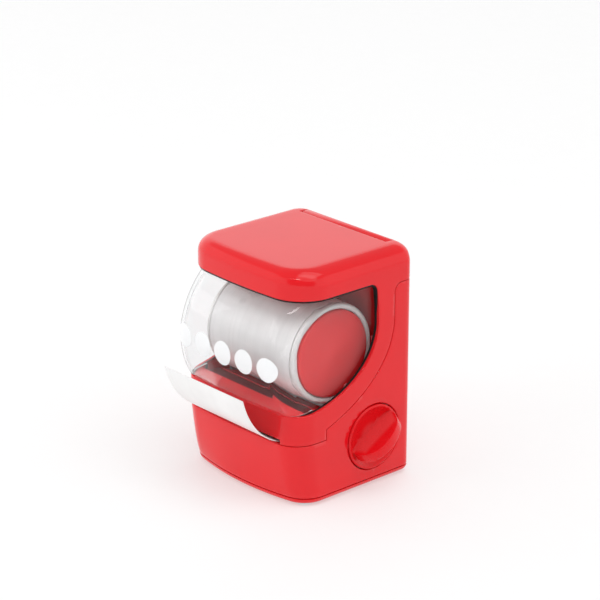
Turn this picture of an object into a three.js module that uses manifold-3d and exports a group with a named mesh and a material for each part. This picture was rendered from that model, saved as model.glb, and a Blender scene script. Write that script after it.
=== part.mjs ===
// Desk tape dispenser: a red base with a knob-driven feed roller, a hinged lid with a clear drum-shaped
// window, and a 50 mm wide tape roll on a spindle.
// Millimetres, +Z up, +X to the knob side, +Y to the rear. The origin is the bottom centre of the bounding box.
import * as THREE from "three";
import { mergeVertices } from "three/addons/utils/BufferGeometryUtils.js";
import Module from "manifold-3d";

const wasm = await Module();
wasm.setup();

// ---------------------------------------------------------------- driving dimensions
const WALL = 2;
const GAP = 0.3; // between pieces that touch
const HALF_WIDTH = 36.8;
const REAR = 41.7;
const HEIGHT = 102;
const CENTRE_X = 5.375; // the bounding box's centre, which the knob's grip moves off the body's middle
const FILLETS = { side: 7.8, front: 5.8, rear: 3.7 }; // round edges of the top
// Plan of the body: the front is a flat bow, so `front` is its middle and `bow` its radius.
const PLAN = [
  { z: -5, front: -22.3, bow: 120, corner: 11.4 },
  { z: 3.6, front: -23.1, bow: 126, corner: 11.4 },
  { z: 28, front: -25.2, bow: 400, corner: 11.5 },
  { z: 42, front: -25.2, bow: 400, corner: 11.5 },
  { z: 86, front: -22.9, bow: 276, corner: 16.3 },
  { z: 110, front: -22.9, bow: 276, corner: 16.3 },
];
const REAR_CORNER = 4.6;

const PLATE = { bottom: 0.8, top: 3.3 }; // base plate
const FOOT = { radius: 4.5, height: 1.3, x: 23, yFront: -7, yRear: 29 };
const BASE_SCREWS = [
  { x: 30.6, y: -13.5, top: 10 },
  { x: 30.3, y: 36, top: 12 },
];

// The line between base and lid, seen from the side: a level front, a step, an elliptical arc and a column.
const PARTING = { z: 28.2, step: -6.8, y: -41.2, zArc: 72.8, a: 72.1, b: 45.45, column: 87.2, round: 3.8 };
// The window opening: visor edge, rear arc and chin edge.
const OPENING = { chin: 41, visor: 89.9, y: -21.4, z: 72.8, a: 43.4, b: 31.6, round: 4 };
const PIN = { y: 37.6, z: 99.6, radius: 1, reach: 29.8 };
const BLOCK = { halfWidth: 26.4, front: 35.2, clearRadius: 2.6 };
const SLOT = { halfWidth: 27.4, top: 31.1 };

const DRUM = { y: 6.2, z: 62, radius: 37.5, halfWidth: 34.3, wall: 1.5, bow: 300, margin: 5.5, step: -12 };
const WINDOW_SCREWS = [-15, -50]; // places round the opening, in degrees of its rear arc
const ROLL = { y: 4.6, z: 60.6, radius: 21.5, halfWidth: 25 };
const CAP_RADIUS = 18.8;
const SPINDLE_RADIUS = 3;
const TRAY = { inner: 24, outer: 25.6, halfWidth: 32, lip: -115, top: 84 };

const MODULE = 1;
const PRESSURE = THREE.MathUtils.degToRad(25);
const BACKLASH = 0.25; // taken off each side of a tooth
const TEETH = { drive: 24, idler: 14, feed: 12 };
const GEAR = { x0: 27.7, x1: 30.7 };
const KNOB = { y: 19.8, z: 22, radius: 14.2, tilt: 32.3, grip: 4.8, gripTop: 3 };
const IDLER_Y = KNOB.y - (MODULE * (TEETH.drive + TEETH.idler)) / 2;
const FEED_Y = IDLER_Y - (MODULE * (TEETH.idler + TEETH.feed)) / 2;
const FEED = { y: FEED_Y, z: KNOB.z, radius: 6, shaft: 2 };
const SIDE_PLATE = { x0: 25.7, x1: 27.3 };
const TAPE = 0.35; // thickness of the tape strip
const TAIL_TOP = 51.4; // height of the strip's free edge
const STRIP_Z = FEED.z + FEED.radius + GAP + TAPE / 2;
const PINCH = { y: FEED.y, radius: 4, z: STRIP_Z + TAPE / 2 + GAP + 4, pin: 1.5 };

// ---------------------------------------------------------------- materials
const plastic = (color, roughness = 0.25) => new THREE.MeshStandardMaterial({ color, roughness, metalness: 0 });
const metal = (color, roughness = 0.3) => new THREE.MeshStandardMaterial({ color, roughness, metalness: 1 });
const RED = plastic("#e02b33");
const DEEP_RED = plastic("#b0151f");
const CLEAR = new THREE.MeshStandardMaterial({ color: "#f4f6f8", roughness: 0.05, transparent: true, opacity: 0.3 });
const TAPE_WHITE = plastic("#f6f3f2", 0.6);
const PALE = plastic("#dcd9d8", 0.35);
const CARD = plastic("#b08b62", 0.9);
const GREY = plastic("#6d7074", 0.5);
const NYLON = plastic("#e9e6da", 0.45);
const RUBBER = plastic("#2b2b2d", 0.85);
const STEEL = metal("#b9bcc0");

// ---------------------------------------------------------------- geometry helpers
const cleaned = (geometry) => {
  const plain = geometry.index ? geometry.toNonIndexed() : geometry.clone();
  plain.deleteAttribute("normal");
  plain.deleteAttribute("uv");
  const merged = mergeVertices(plain, 1e-4);
  const p = merged.attributes.position;
  const at = (i) => new THREE.Vector3().fromBufferAttribute(p, i);
  const faces = [];
  let volume = 0;
  for (let i = 0; i < merged.index.count; i += 3) {
    const [a, b, c] = [0, 1, 2].map((k) => merged.index.getX(i + k));
    if (a === b || b === c || c === a) continue;
    faces.push([a, b, c]);
    volume += at(a).dot(at(b).cross(at(c)));
  }
  merged.setIndex(faces.flatMap((face) => (volume < 0 ? face.reverse() : face)));
  return merged;
};

const toSolid = (geometry) => {
  const closed = cleaned(geometry);
  const vertProperties = Float32Array.from(closed.attributes.position.array);
  const triVerts = Uint32Array.from(closed.index.array);
  return new wasm.Manifold(new wasm.Mesh({ numProp: 3, vertProperties, triVerts }));
};

const toGeometry = (solid) => {
  const mesh = solid.getMesh();
  const geometry = new THREE.BufferGeometry();
  geometry.setAttribute("position", new THREE.BufferAttribute(mesh.vertProperties, 3));
  geometry.setIndex(new THREE.BufferAttribute(mesh.triVerts, 1));
  return geometry;
};

const join = (first, ...rest) => rest.reduce((sum, geometry) => sum.add(toSolid(geometry)), toSolid(first));
const cut = (solid, ...tools) => tools.reduce((left, geometry) => left.subtract(toSolid(geometry)), solid);

const box = (x0, x1, y0, y1, z0, z1) => {
  const geometry = new THREE.BoxGeometry(x1 - x0, y1 - y0, z1 - z0);
  return geometry.translate((x0 + x1) / 2, (y0 + y1) / 2, (z0 + z1) / 2);
};

// A shape drawn in (y, z), made solid from x0 to x1.
const alongX = (shape, x0, x1) => {
  const geometry = new THREE.ExtrudeGeometry(shape, { depth: x1 - x0, bevelEnabled: false, curveSegments: 12 });
  const [X, Y, Z] = [new THREE.Vector3(1, 0, 0), new THREE.Vector3(0, 1, 0), new THREE.Vector3(0, 0, 1)];
  return geometry.applyMatrix4(new THREE.Matrix4().makeBasis(Y, Z, X)).translate(x0, 0, 0);
};

// A turned piece about an axis along X at (y, z). The profile is [x, radius] from end to end.
const turned = (profile, y, z, segments = 32) => {
  const points = profile.map(([x, radius]) => new THREE.Vector2(radius, x));
  const geometry = new THREE.LatheGeometry(points, segments);
  return geometry.rotateZ(-Math.PI / 2).translate(0, y, z);
};
const rod = (x0, x1, radius, y, z, segments = 24) =>
  turned([[x0, 0], [x0, radius], [x1, radius], [x1, 0]], y, z, segments);
const ring = (x0, x1, inner, outer, y, z, segments = 32) =>
  turned([[x0, inner], [x0, outer], [x1, outer], [x1, inner], [x0, inner]], y, z, segments);

// An upright turned piece at (x, y). The profile is [z, radius] from end to end.
const upright = (profile, x, y, segments = 20) => {
  const points = profile.map(([z, radius]) => new THREE.Vector2(radius, z));
  return new THREE.LatheGeometry(points, segments).rotateX(Math.PI / 2).translate(x, y, 0);
};
const post = (z0, z1, radius, x, y, segments = 20) =>
  upright([[z0, 0], [z0, radius], [z1, radius], [z1, 0]], x, y, segments);

const arcPoints = (cx, cy, radius, from, to, steps) =>
  Array.from({ length: steps + 1 }, (_, i) => {
    const angle = from + ((to - from) * i) / steps;
    return new THREE.Vector2(cx + radius * Math.cos(angle), cy + radius * Math.sin(angle));
  });

// The plan of the body as a closed anticlockwise ring: bowed front, round corners, flat sides and rear.
const planRing = ({ halfWidth, front, bow, corner, rear, rearCorner }, z) => {
  const centreY = front + bow;
  const cornerX = halfWidth - corner;
  const cornerY = centreY - Math.sqrt((bow - corner) ** 2 - cornerX ** 2);
  const turn = Math.atan2(cornerY - centreY, cornerX);
  const right = [
    ...arcPoints(0, centreY, bow, -Math.PI / 2, turn, 3),
    ...arcPoints(cornerX, cornerY, corner, turn, 0, 6).slice(1),
    ...arcPoints(halfWidth - rearCorner, rear - rearCorner, rearCorner, 0, Math.PI / 2, 4),
  ];
  const left = right.slice(1).reverse().map((p) => new THREE.Vector2(-p.x, p.y));
  return [...right, ...left].map((p) => new THREE.Vector3(p.x, p.y, z));
};

// A solid through stacked rings with the same number of points, closed at both ends.
const loft = (rings) => {
  const count = rings[0].length;
  const index = [];
  for (let r = 0; r < rings.length - 1; r += 1) {
    for (let i = 0; i < count; i += 1) {
      const a = r * count + i;
      const b = r * count + ((i + 1) % count);
      index.push(a, b, b + count, a, b + count, a + count);
    }
  }
  const cap = (ringPoints) => THREE.ShapeUtils.triangulateShape(ringPoints.map((p) => new THREE.Vector2(p.x, p.y)), []);
  const last = (rings.length - 1) * count;
  cap(rings[0]).forEach(([a, b, c]) => index.push(c, b, a));
  cap(rings[rings.length - 1]).forEach(([a, b, c]) => index.push(a + last, b + last, c + last));
  const geometry = new THREE.BufferGeometry().setFromPoints(rings.flat());
  geometry.setIndex(index);
  return geometry;
};

const filletInset = (radius, top, z) => {
  const rise = z - (top - radius);
  return rise > 0 ? radius - Math.sqrt(Math.max(0, radius ** 2 - rise ** 2)) : 0;
};

// The body's plan at a height, moved inwards by `inset`, with the round edges of the top.
const bodyRing = (z, inset = 0) => {
  const upper = PLAN.findIndex((key) => key.z >= z);
  const [low, high] = [PLAN[Math.max(0, upper - 1)], PLAN[upper]];
  const t = high === low ? 0 : (z - low.z) / (high.z - low.z);
  const mix = (name) => THREE.MathUtils.lerp(low[name], high[name], t);
  const top = HEIGHT - inset;
  const [side, front, rear] = ["side", "front", "rear"].map((name) => filletInset(FILLETS[name] - inset, top, z));
  return planRing({
    halfWidth: HALF_WIDTH - inset - side,
    front: mix("front") + inset + front,
    bow: mix("bow"),
    corner: mix("corner") - inset - side * 0.9,
    rear: REAR - inset - rear,
    rearCorner: REAR_CORNER - inset,
  }, z);
};

const TOP_STEPS = [94.2, 96.4, 98.3, 99.8, 100.9, 101.6];
const envelope = loft([3.6, 28, 42, 64, 86, ...TOP_STEPS, HEIGHT].map((z) => bodyRing(z)));
const cavity = loft([-4, 28, 42, 64, 86, ...TOP_STEPS.map((z) => z - WALL), HEIGHT - WALL].map((z) => bodyRing(z, WALL)));

// ---------------------------------------------------------------- side profiles, drawn in (y, z)
const ellipsePoints = (cy, cz, a, b, from, to, steps) =>
  Array.from({ length: steps + 1 }, (_, i) => {
    const angle = from + ((to - from) * i) / steps;
    return new THREE.Vector2(cy + a * Math.cos(angle), cz + b * Math.sin(angle));
  });

// The parting line from front to rear; `side` is +1 for the lid's edge and -1 for the base's edge.
const partingLine = (side) => {
  const half = (side * GAP) / 2;
  const { z, step, y, zArc, a, b, column, round } = PARTING;
  const start = -Math.acos((step - half - y) / (a - half));
  const line = [
    new THREE.Vector2(-60, z + half),
    new THREE.Vector2(step - half, z + half),
    ...ellipsePoints(y, zArc, a - half, b - half, start, 0, 14),
  ];
  const edge = y + a - half;
  const roundRadius = round + half;
  const roundY = edge + roundRadius;
  line.push(...arcPoints(roundY, column + half - roundRadius, roundRadius, Math.PI, Math.PI / 2, 5));
  return line;
};

const lidProfile = () => {
  const line = partingLine(1);
  const radius = PIN.z - PARTING.column - GAP / 2;
  const earAngle = Math.acos((REAR + 1 - PIN.y) / radius);
  line.push(...arcPoints(PIN.y, PIN.z, radius, -Math.PI / 2, -earAngle, 4));
  line.push(new THREE.Vector2(60, line[line.length - 1].y), new THREE.Vector2(60, 130), new THREE.Vector2(-60, 130));
  return new THREE.Shape(line);
};

const baseProfile = () => {
  const line = partingLine(-1);
  line.push(new THREE.Vector2(60, PARTING.column - GAP / 2), new THREE.Vector2(60, -20), new THREE.Vector2(-60, -20));
  return new THREE.Shape(line);
};

// The rear arc of the window opening, moved outwards by `grow`, with the round corner under the visor.
const openingRear = (grow, start, visor) => {
  const { y, z, a, b, round } = OPENING;
  return [
    ...ellipsePoints(y, z, a + grow, b + grow, start, 0, 12),
    new THREE.Vector2(y + a + grow - 0.2, 80),
    ...arcPoints(y + a - 0.8 - round, visor - round - grow, round + grow, 0, Math.PI / 2, 4),
    new THREE.Vector2(-60, visor),
  ];
};
const openingProfile = () =>
  new THREE.Shape([new THREE.Vector2(-60, OPENING.chin), ...openingRear(0, -Math.PI / 2, OPENING.visor)]);

// The side profile of the window: it stands on the chin, and behind the step it passes inside the lid's walls.
const windowProfile = () => {
  const { y, z, a, b, chin } = OPENING;
  const { step, margin } = DRUM;
  const stepAngle = -Math.acos((step - y) / a);
  const marginAngle = -Math.acos((step - y) / (a + margin));
  return new THREE.Shape([
    new THREE.Vector2(-60, chin + GAP),
    ...ellipsePoints(y, z, a, b - GAP, -Math.PI / 2, stepAngle, 2),
    ...openingRear(margin, marginAngle, OPENING.visor + 1.7),
  ]);
};

// ---------------------------------------------------------------- the object
const bodyFrame = new THREE.Group();
bodyFrame.position.x = -CENTRE_X;
const dispenser = new THREE.Group();
dispenser.name = "tape_dispenser";
dispenser.add(bodyFrame);

const add = (name, shape, material, parent = bodyFrame) => {
  const geometry = shape instanceof THREE.BufferGeometry ? cleaned(shape) : toGeometry(shape);
  const mesh = new THREE.Mesh(geometry, material);
  mesh.name = name;
  parent.add(mesh);
  return mesh;
};
const SIDES = [["left", -1], ["right", 1]];
// A piece drawn on the +X side, moved to either side without mirroring its faces inside out.
const sideBox = (sign, x0, x1, ...rest) => (sign > 0 ? box(x0, x1, ...rest) : box(-x1, -x0, ...rest));
const span = (sign, x0, x1) => (sign > 0 ? [x0, x1] : [-x1, -x0]);

// Base shell: the lower body, the rear column and the hinge block.
const makeBaseShell = () => {
  const lower = toSolid(alongX(baseProfile(), -60, 60));
  let shell = toSolid(envelope).intersect(lower).subtract(toSolid(cavity));
  const { halfWidth, front, clearRadius } = BLOCK;
  const blockZone = join(
    box(-halfWidth, halfWidth, front, 50, 96.6, 110),
    box(-halfWidth, halfWidth, REAR - WALL, 50, 80, 110),
  );
  const hollowCorner = new THREE.Shape([
    new THREE.Vector2(front - 5, PIN.z),
    ...arcPoints(PIN.y, PIN.z, clearRadius, Math.PI, Math.PI / 2, 6),
    new THREE.Vector2(PIN.y, HEIGHT + 5),
    new THREE.Vector2(front - 5, HEIGHT + 5),
  ]);
  const block = toSolid(envelope).intersect(blockZone);
  shell = shell.add(cut(block, alongX(hollowCorner, -60, 60)));
  shell = cut(shell, rod(-60, 60, PIN.radius + GAP, PIN.y, PIN.z, 16));
  // Seat of the knob: a hole in the right wall with a cup behind it.
  const { y, z, radius } = KNOB;
  shell = cut(shell, rod(33, 40, radius + 0.4, y, z, 48));
  const cup = cut(
    toSolid(rod(32.4, 35.2, radius + 1.8, y, z, 48)),
    rod(33.6, 36, radius + 0.4, y, z, 48),
    rod(30, 36, 4, y, z, 20),
  );
  shell = shell.add(cup);
  for (const { x, y: py, top } of BASE_SCREWS) {
    for (const [, sign] of SIDES) {
      const rib = sideBox(sign, x, HALF_WIDTH - 1, py - 1, py + 1, 3.6, top);
      shell = shell.add(join(post(3.6, top, 3, sign * x, py), rib).intersect(toSolid(envelope)));
      shell = cut(shell, post(0, top - 1.5, 1.5, sign * x, py, 12));
    }
  }
  return shell;
};
add("base_shell", makeBaseShell(), RED);

// Base plate with a round lower edge, foot recesses and screw holes.
const makeBasePlate = () => {
  const edge = [[PLATE.bottom, 2.2], [1.3, 1.1], [2.1, 0.35], [PLATE.top, 0]];
  let plate = toSolid(loft(edge.map(([z, inset]) => {
    const key = PLAN[1];
    return planRing({
      halfWidth: HALF_WIDTH - inset,
      front: key.front + inset,
      bow: key.bow,
      corner: key.corner - inset,
      rear: REAR - inset,
      rearCorner: REAR_CORNER - inset,
    }, z);
  })));
  for (const [, sign] of SIDES) {
    for (const y of [FOOT.yFront, FOOT.yRear]) {
      plate = cut(plate, post(-1, FOOT.height + GAP, FOOT.radius + GAP, sign * FOOT.x, y));
    }
    for (const { x, y } of BASE_SCREWS) {
      plate = cut(plate, upright([[0, 0], [0, 2.8], [2.2, 2.8], [2.2, 1.5], [5, 1.5], [5, 0]], sign * x, y, 12));
    }
  }
  return plate;
};
add("base_plate", makeBasePlate(), RED);

let footNumber = 0;
let screwNumber = 0;
for (const [, sign] of SIDES) {
  for (const y of [FOOT.yFront, FOOT.yRear]) {
    footNumber += 1;
    add(`foot_${footNumber}`, post(0, FOOT.height, FOOT.radius, sign * FOOT.x, y), RUBBER);
  }
  for (const { x, y, top } of BASE_SCREWS) {
    screwNumber += 1;
    const screw = upright([[1, 0], [1, 2.5], [1.9, 2.5], [1.9, 1.2], [top - 2, 1.2], [top - 2, 0]], sign * x, y, 12);
    add(`base_screw_${screwNumber}`, screw, STEEL);
  }
}

// Side plates: they carry the feed roller, the idler pin and the knob shaft.
const sidePlateProfile = () => {
  const foot = PLATE.top + GAP;
  const reach = TRAY.outer + GAP;
  const start = -Math.acos((24 - ROLL.y) / reach);
  const end = -Math.acos((-5 - ROLL.y) / reach);
  return new THREE.Shape([
    new THREE.Vector2(-17.5, foot),
    new THREE.Vector2(30, foot),
    new THREE.Vector2(30, 34),
    ...arcPoints(ROLL.y, ROLL.z, reach, start, end, 8),
    new THREE.Vector2(-7, 27.6),
    new THREE.Vector2(-17.5, 27.6),
  ]);
};
for (const [side, sign] of SIDES) {
  const [x0, x1] = span(sign, SIDE_PLATE.x0, SIDE_PLATE.x1);
  let plate = toSolid(alongX(sidePlateProfile(), x0, x1));
  plate = cut(plate, rod(x0 - 1, x1 + 1, 3.6, FEED.y, FEED.z, 20));
  if (sign > 0) {
    plate = cut(plate, rod(x0 - 1, x1 + 1, 4, KNOB.y, KNOB.z, 20), rod(x0 - 1, x1 + 1, 1.8, IDLER_Y, KNOB.z, 16));
  }
  add(`${side}_side_plate`, plate, GREY);
}

// Roll tray: a curved cradle under and behind the roll, with a slit for the tape.
const makeTray = () => {
  const from = THREE.MathUtils.degToRad(TRAY.lip);
  const { inner, outer, halfWidth, top } = TRAY;
  const section = new THREE.Shape([
    ...arcPoints(ROLL.y, ROLL.z, outer, from, 0, 18),
    new THREE.Vector2(ROLL.y + outer, top),
    new THREE.Vector2(ROLL.y + inner, top),
    ...arcPoints(ROLL.y, ROLL.z, inner, 0, from, 18),
  ]);
  return cut(
    toSolid(alongX(section, -halfWidth, halfWidth)),
    box(-26, 26, 1, 7.4, 30, 40),
    box(-31.3, -29.1, -1.8, 11, 30, 45),
  );
};
add("roll_tray", makeTray(), RED);

// Bracket and spindle that carry the roll from the left.
const bracketProfile = new THREE.Shape([
  new THREE.Vector2(-1.4, 22),
  new THREE.Vector2(10.6, 22),
  ...arcPoints(ROLL.y, ROLL.z, 6, 0, Math.PI, 10),
]);
add("roll_bracket", cut(
  join(alongX(bracketProfile, -31, -29.4), box(-31, -27.6, -1.4, 10.6, 22, 24)),
  rod(-35, -25, SPINDLE_RADIUS - 0.7, ROLL.y, ROLL.z, 20),
), GREY);
add("spindle", turned([[-31.6, 0], [-31.6, 2], [-29.1, 2], [-29.1, 3], [24.6, 3], [24.6, 0]], ROLL.y, ROLL.z), STEEL);

const rollBody = new THREE.Group();
rollBody.position.set(0, ROLL.y, ROLL.z);
bodyFrame.add(rollBody);
add("tape_roll", ring(-25, 25, 13, ROLL.radius, 0, 0, 40), TAPE_WHITE, rollBody);
add("tape_core", ring(-25, 25, 11, 12.7, 0, 0, 24), CARD, rollBody);
add("spool_hub", turned([[-25, 3.3], [-25, 10.7], [25, 10.7], [25, 0], [24.9, 0], [24.9, 3.3], [-25, 3.3]], 0, 0, 24),
  DEEP_RED, rollBody);
for (const [side, sign] of SIDES) {
  const face = (x) => sign * x;
  const bore = sign > 0 ? 0 : 3.3;
  const cap = [[face(25.3), bore], [face(25.3), CAP_RADIUS], [face(27), CAP_RADIUS], [face(27.7), CAP_RADIUS - 1],
    [face(27.8), bore]];
  if (bore > 0) cap.push(cap[0]);
  add(`${side}_roll_cap`, turned(cap, 0, 0, 36), RED, rollBody);
  const rim = [[face(25.3), 19.1], [face(25.3), 21.5], [face(26.6), 21.5], [face(27.3), 20.3], [face(26.9), 19.1],
    [face(25.3), 19.1]];
  add(`${side}_roll_rim`, turned(rim, 0, 0, 36), PALE, rollBody);
}

// Tape strip: from under the roll, through the tray slit and the nip, out of the slot and up in a curl.
const makeStrip = () => {
  const pinch = new THREE.Vector2(PINCH.y, PINCH.z);
  const toRoll = new THREE.Vector2(ROLL.y, ROLL.z).sub(pinch);
  const wrap = PINCH.radius + GAP + TAPE / 2;
  const reach = ROLL.radius + GAP + TAPE / 2;
  const slope = toRoll.angle() - Math.asin((reach - wrap) / toRoll.length());
  const below = new THREE.Vector2(Math.sin(slope), -Math.cos(slope));
  const leave = pinch.clone().add(toRoll).addScaledVector(below, reach);
  const slit = pinch.clone().addScaledVector(below, wrap).lerp(leave, 0.5);
  const curl = new THREE.CubicBezierCurve(
    new THREE.Vector2(-22.4, STRIP_Z),
    new THREE.Vector2(-32, 32),
    new THREE.Vector2(-38.5, 40),
    new THREE.Vector2(TAPE / 2 - REAR, TAIL_TOP),
  );
  const path = [
    leave,
    slit,
    ...arcPoints(PINCH.y, PINCH.z, wrap, slope - Math.PI / 2, -Math.PI / 2, 4),
    ...curl.getPoints(14),
  ];
  const normals = path.map((_, i) => {
    const before = path[Math.max(0, i - 1)];
    const after = path[Math.min(path.length - 1, i + 1)];
    const along = after.clone().sub(before).normalize();
    return new THREE.Vector2(-along.y, along.x).multiplyScalar(TAPE / 2);
  });
  const upper = path.map((p, i) => p.clone().add(normals[i]));
  const lower = path.map((p, i) => p.clone().sub(normals[i])).reverse();
  return alongX(new THREE.Shape([...upper, ...lower]), -ROLL.halfWidth, ROLL.halfWidth);
};
add("tape_strip", makeStrip(), TAPE_WHITE);

// Cutter: a serrated blade on a holder just behind the slot.
const makeBlade = () => {
  const pitch = 2;
  const count = 24;
  const root = -21;
  const points = [];
  for (let i = 0; i < count; i += 1) {
    const x = (i - count / 2) * pitch;
    points.push(new THREE.Vector2(x, root), new THREE.Vector2(x + pitch / 2, root - 0.8));
  }
  const end = (count / 2) * pitch;
  points.push(new THREE.Vector2(end, root), new THREE.Vector2(end, root + 2.3), new THREE.Vector2(-end, root + 2.3));
  const geometry = new THREE.ExtrudeGeometry(new THREE.Shape(points), { depth: 0.4, bevelEnabled: false });
  return geometry.translate(0, 0, 27.2);
};
add("cutter_blade", makeBlade(), STEEL);
add("blade_holder", box(-24.5, 24.5, -21.7, -19.6, 24.9, 26.9), GREY);

// ---------------------------------------------------------------- gears and feed roller
const involute = (angle) => Math.tan(angle) - angle;
const gearShape = (teeth, phase) => {
  const pitch = (MODULE * teeth) / 2;
  const baseRadius = pitch * Math.cos(PRESSURE);
  const root = pitch - 1.25 * MODULE;
  const tip = pitch + 0.95 * MODULE;
  const halfAtPitch = Math.PI / (2 * teeth) - BACKLASH / 2 / pitch;
  const halfAt = (radius) => halfAtPitch + involute(PRESSURE) - involute(Math.acos(Math.min(1, baseRadius / radius)));
  const low = Math.max(baseRadius, root);
  const radii = [low, (low + tip) / 2, tip];
  const points = [];
  const place = (radius, angle) => points.push(new THREE.Vector2(radius * Math.cos(angle), radius * Math.sin(angle)));
  for (let i = 0; i < teeth; i += 1) {
    const middle = phase + (2 * Math.PI * i) / teeth;
    if (root < low) place(root, middle - halfAt(low));
    radii.forEach((radius) => place(radius, middle - halfAt(radius)));
    [...radii].reverse().forEach((radius) => place(radius, middle + halfAt(radius)));
    if (root < low) place(root, middle + halfAt(low));
  }
  return new THREE.Shape(points);
};
const makeGear = (teeth, phase, bore) => {
  const shape = gearShape(teeth, phase);
  const hole = new THREE.Path();
  hole.absarc(0, 0, bore, 0, 2 * Math.PI, true);
  shape.holes.push(hole);
  return alongX(shape, GEAR.x0, GEAR.x1);
};

const knobBody = new THREE.Group();
knobBody.position.set(0, KNOB.y, KNOB.z);
bodyFrame.add(knobBody);

// Knob: a dished disc with a half-moon grip across it.
const makeKnob = () => {
  const { radius, tilt, grip: thickness, gripTop } = KNOB;
  const dish = [[33.9, 0], [33.9, radius], [36.7, radius], [37.2, radius - 0.6], [37.2, radius - 1.1],
    [36.2, radius - 2.2], [35.4, radius - 4.6], [35.1, 0]];
  const crest = new THREE.SplineCurve([
    [-12.1, 36], [-11.7, 40.8], [-9.8, 44.3], [-6.9, 46.4], [-3.4, 47.4], [1.6, 47.4], [6.3, 46], [9.6, 44],
    [12.2, 40.4], [13.1, 36],
  ].map(([t, x]) => new THREE.Vector2(t, x)));
  const outline = new THREE.Shape([...crest.getPoints(16), new THREE.Vector2(13.1, 34.5), new THREE.Vector2(-12.1, 34.5)]);
  const grip = new THREE.ExtrudeGeometry(outline, { depth: thickness, bevelEnabled: false });
  grip.translate(0, 0, -gripTop);
  const [X, Y, Z] = [new THREE.Vector3(1, 0, 0), new THREE.Vector3(0, 1, 0), new THREE.Vector3(0, 0, 1)];
  grip.applyMatrix4(new THREE.Matrix4().makeBasis(Y, X, Z.negate()));
  grip.rotateX(THREE.MathUtils.degToRad(tilt));
  const body = join(turned(dish, 0, 0, 40), grip);
  return cut(body, rod(30, 34.6, FEED.shaft + GAP, 0, 0, 20));
};
add("knob", makeKnob(), RED, knobBody);
add("knob_shaft", rod(23.6, 34.3, FEED.shaft, 0, 0, 20), STEEL, knobBody);
add("drive_gear", makeGear(TEETH.drive, 0, FEED.shaft + GAP), NYLON, knobBody);
add("knob_shaft_clip", ring(24.2, 25, FEED.shaft + GAP, 4, 0, 0, 20), STEEL, knobBody);
add("knob_outer_bush", ring(32.4, 33.6, FEED.shaft + GAP, 3.7, KNOB.y, KNOB.z, 24), NYLON);
add("knob_inner_bush", ring(25.6, 27.4, FEED.shaft + GAP, 3.7, KNOB.y, KNOB.z, 24), NYLON);

const idlerBody = new THREE.Group();
idlerBody.position.set(0, IDLER_Y, KNOB.z);
bodyFrame.add(idlerBody);
add("idler_gear", makeGear(TEETH.idler, Math.PI / TEETH.idler, 1.8), NYLON, idlerBody);
add("idler_pin", turned([[24.6, 0], [24.6, 2.6], [25.4, 2.6], [25.4, 1.5], [33.4, 1.5], [33.4, 0]],
  IDLER_Y, KNOB.z, 20), STEEL);

const feedBody = new THREE.Group();
feedBody.position.set(0, FEED.y, FEED.z);
bodyFrame.add(feedBody);
add("feed_shaft", rod(-28.6, 32.8, FEED.shaft, 0, 0, 20), STEEL, feedBody);
add("feed_roller", ring(-24.6, 24.6, FEED.shaft + GAP, FEED.radius, 0, 0, 32), RUBBER, feedBody);
add("feed_gear", makeGear(TEETH.feed, 0, FEED.shaft + GAP), NYLON, feedBody);
add("feed_shaft_clip", ring(-28.4, -27.7, FEED.shaft + GAP, 3.6, 0, 0, 20), STEEL, feedBody);
for (const [side, sign] of SIDES) {
  const [x0, x1] = span(sign, SIDE_PLATE.x0 - 0.1, SIDE_PLATE.x1 + 0.1);
  add(`${side}_feed_bush`, ring(x0, x1, FEED.shaft + GAP, 3.3, FEED.y, FEED.z, 24), NYLON);
}

// ---------------------------------------------------------------- hinge and lid
add("hinge_pin", rod(-PIN.reach, PIN.reach, PIN.radius, PIN.y, PIN.z, 16), STEEL);

const SCREW_SHANK = 0.9;
const windowScrewPlaces = WINDOW_SCREWS.map((degrees) => {
  const angle = THREE.MathUtils.degToRad(degrees);
  const { y, z, a, b } = OPENING;
  return [y + (a + 3) * Math.cos(angle), z + (b + 3) * Math.sin(angle)];
});
const makeLidShell = () => {
  let shell = toSolid(envelope).subtract(toSolid(cavity)).intersect(toSolid(alongX(lidProfile(), -60, 60)));
  for (const [, sign] of SIDES) {
    const ear = toSolid(sideBox(sign, BLOCK.halfWidth + GAP, 31.2, 34.9, 50, 95.6, 110));
    shell = shell.add(toSolid(envelope).intersect(ear));
  }
  return cut(
    shell,
    alongX(openingProfile(), -60, 60),
    box(-BLOCK.halfWidth - GAP, BLOCK.halfWidth + GAP, BLOCK.front - 0.4, 60, 80, 120),
    box(-SLOT.halfWidth, SLOT.halfWidth, -40, -15, 20, SLOT.top),
    rod(-PIN.reach - GAP, PIN.reach + GAP, PIN.radius + GAP, PIN.y, PIN.z, 16),
    ...windowScrewPlaces.map(([y, z]) => rod(-36.1, 36.1, SCREW_SHANK + GAP, y, z, 12)),
  );
};
add("lid_shell", makeLidShell(), RED);

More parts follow.
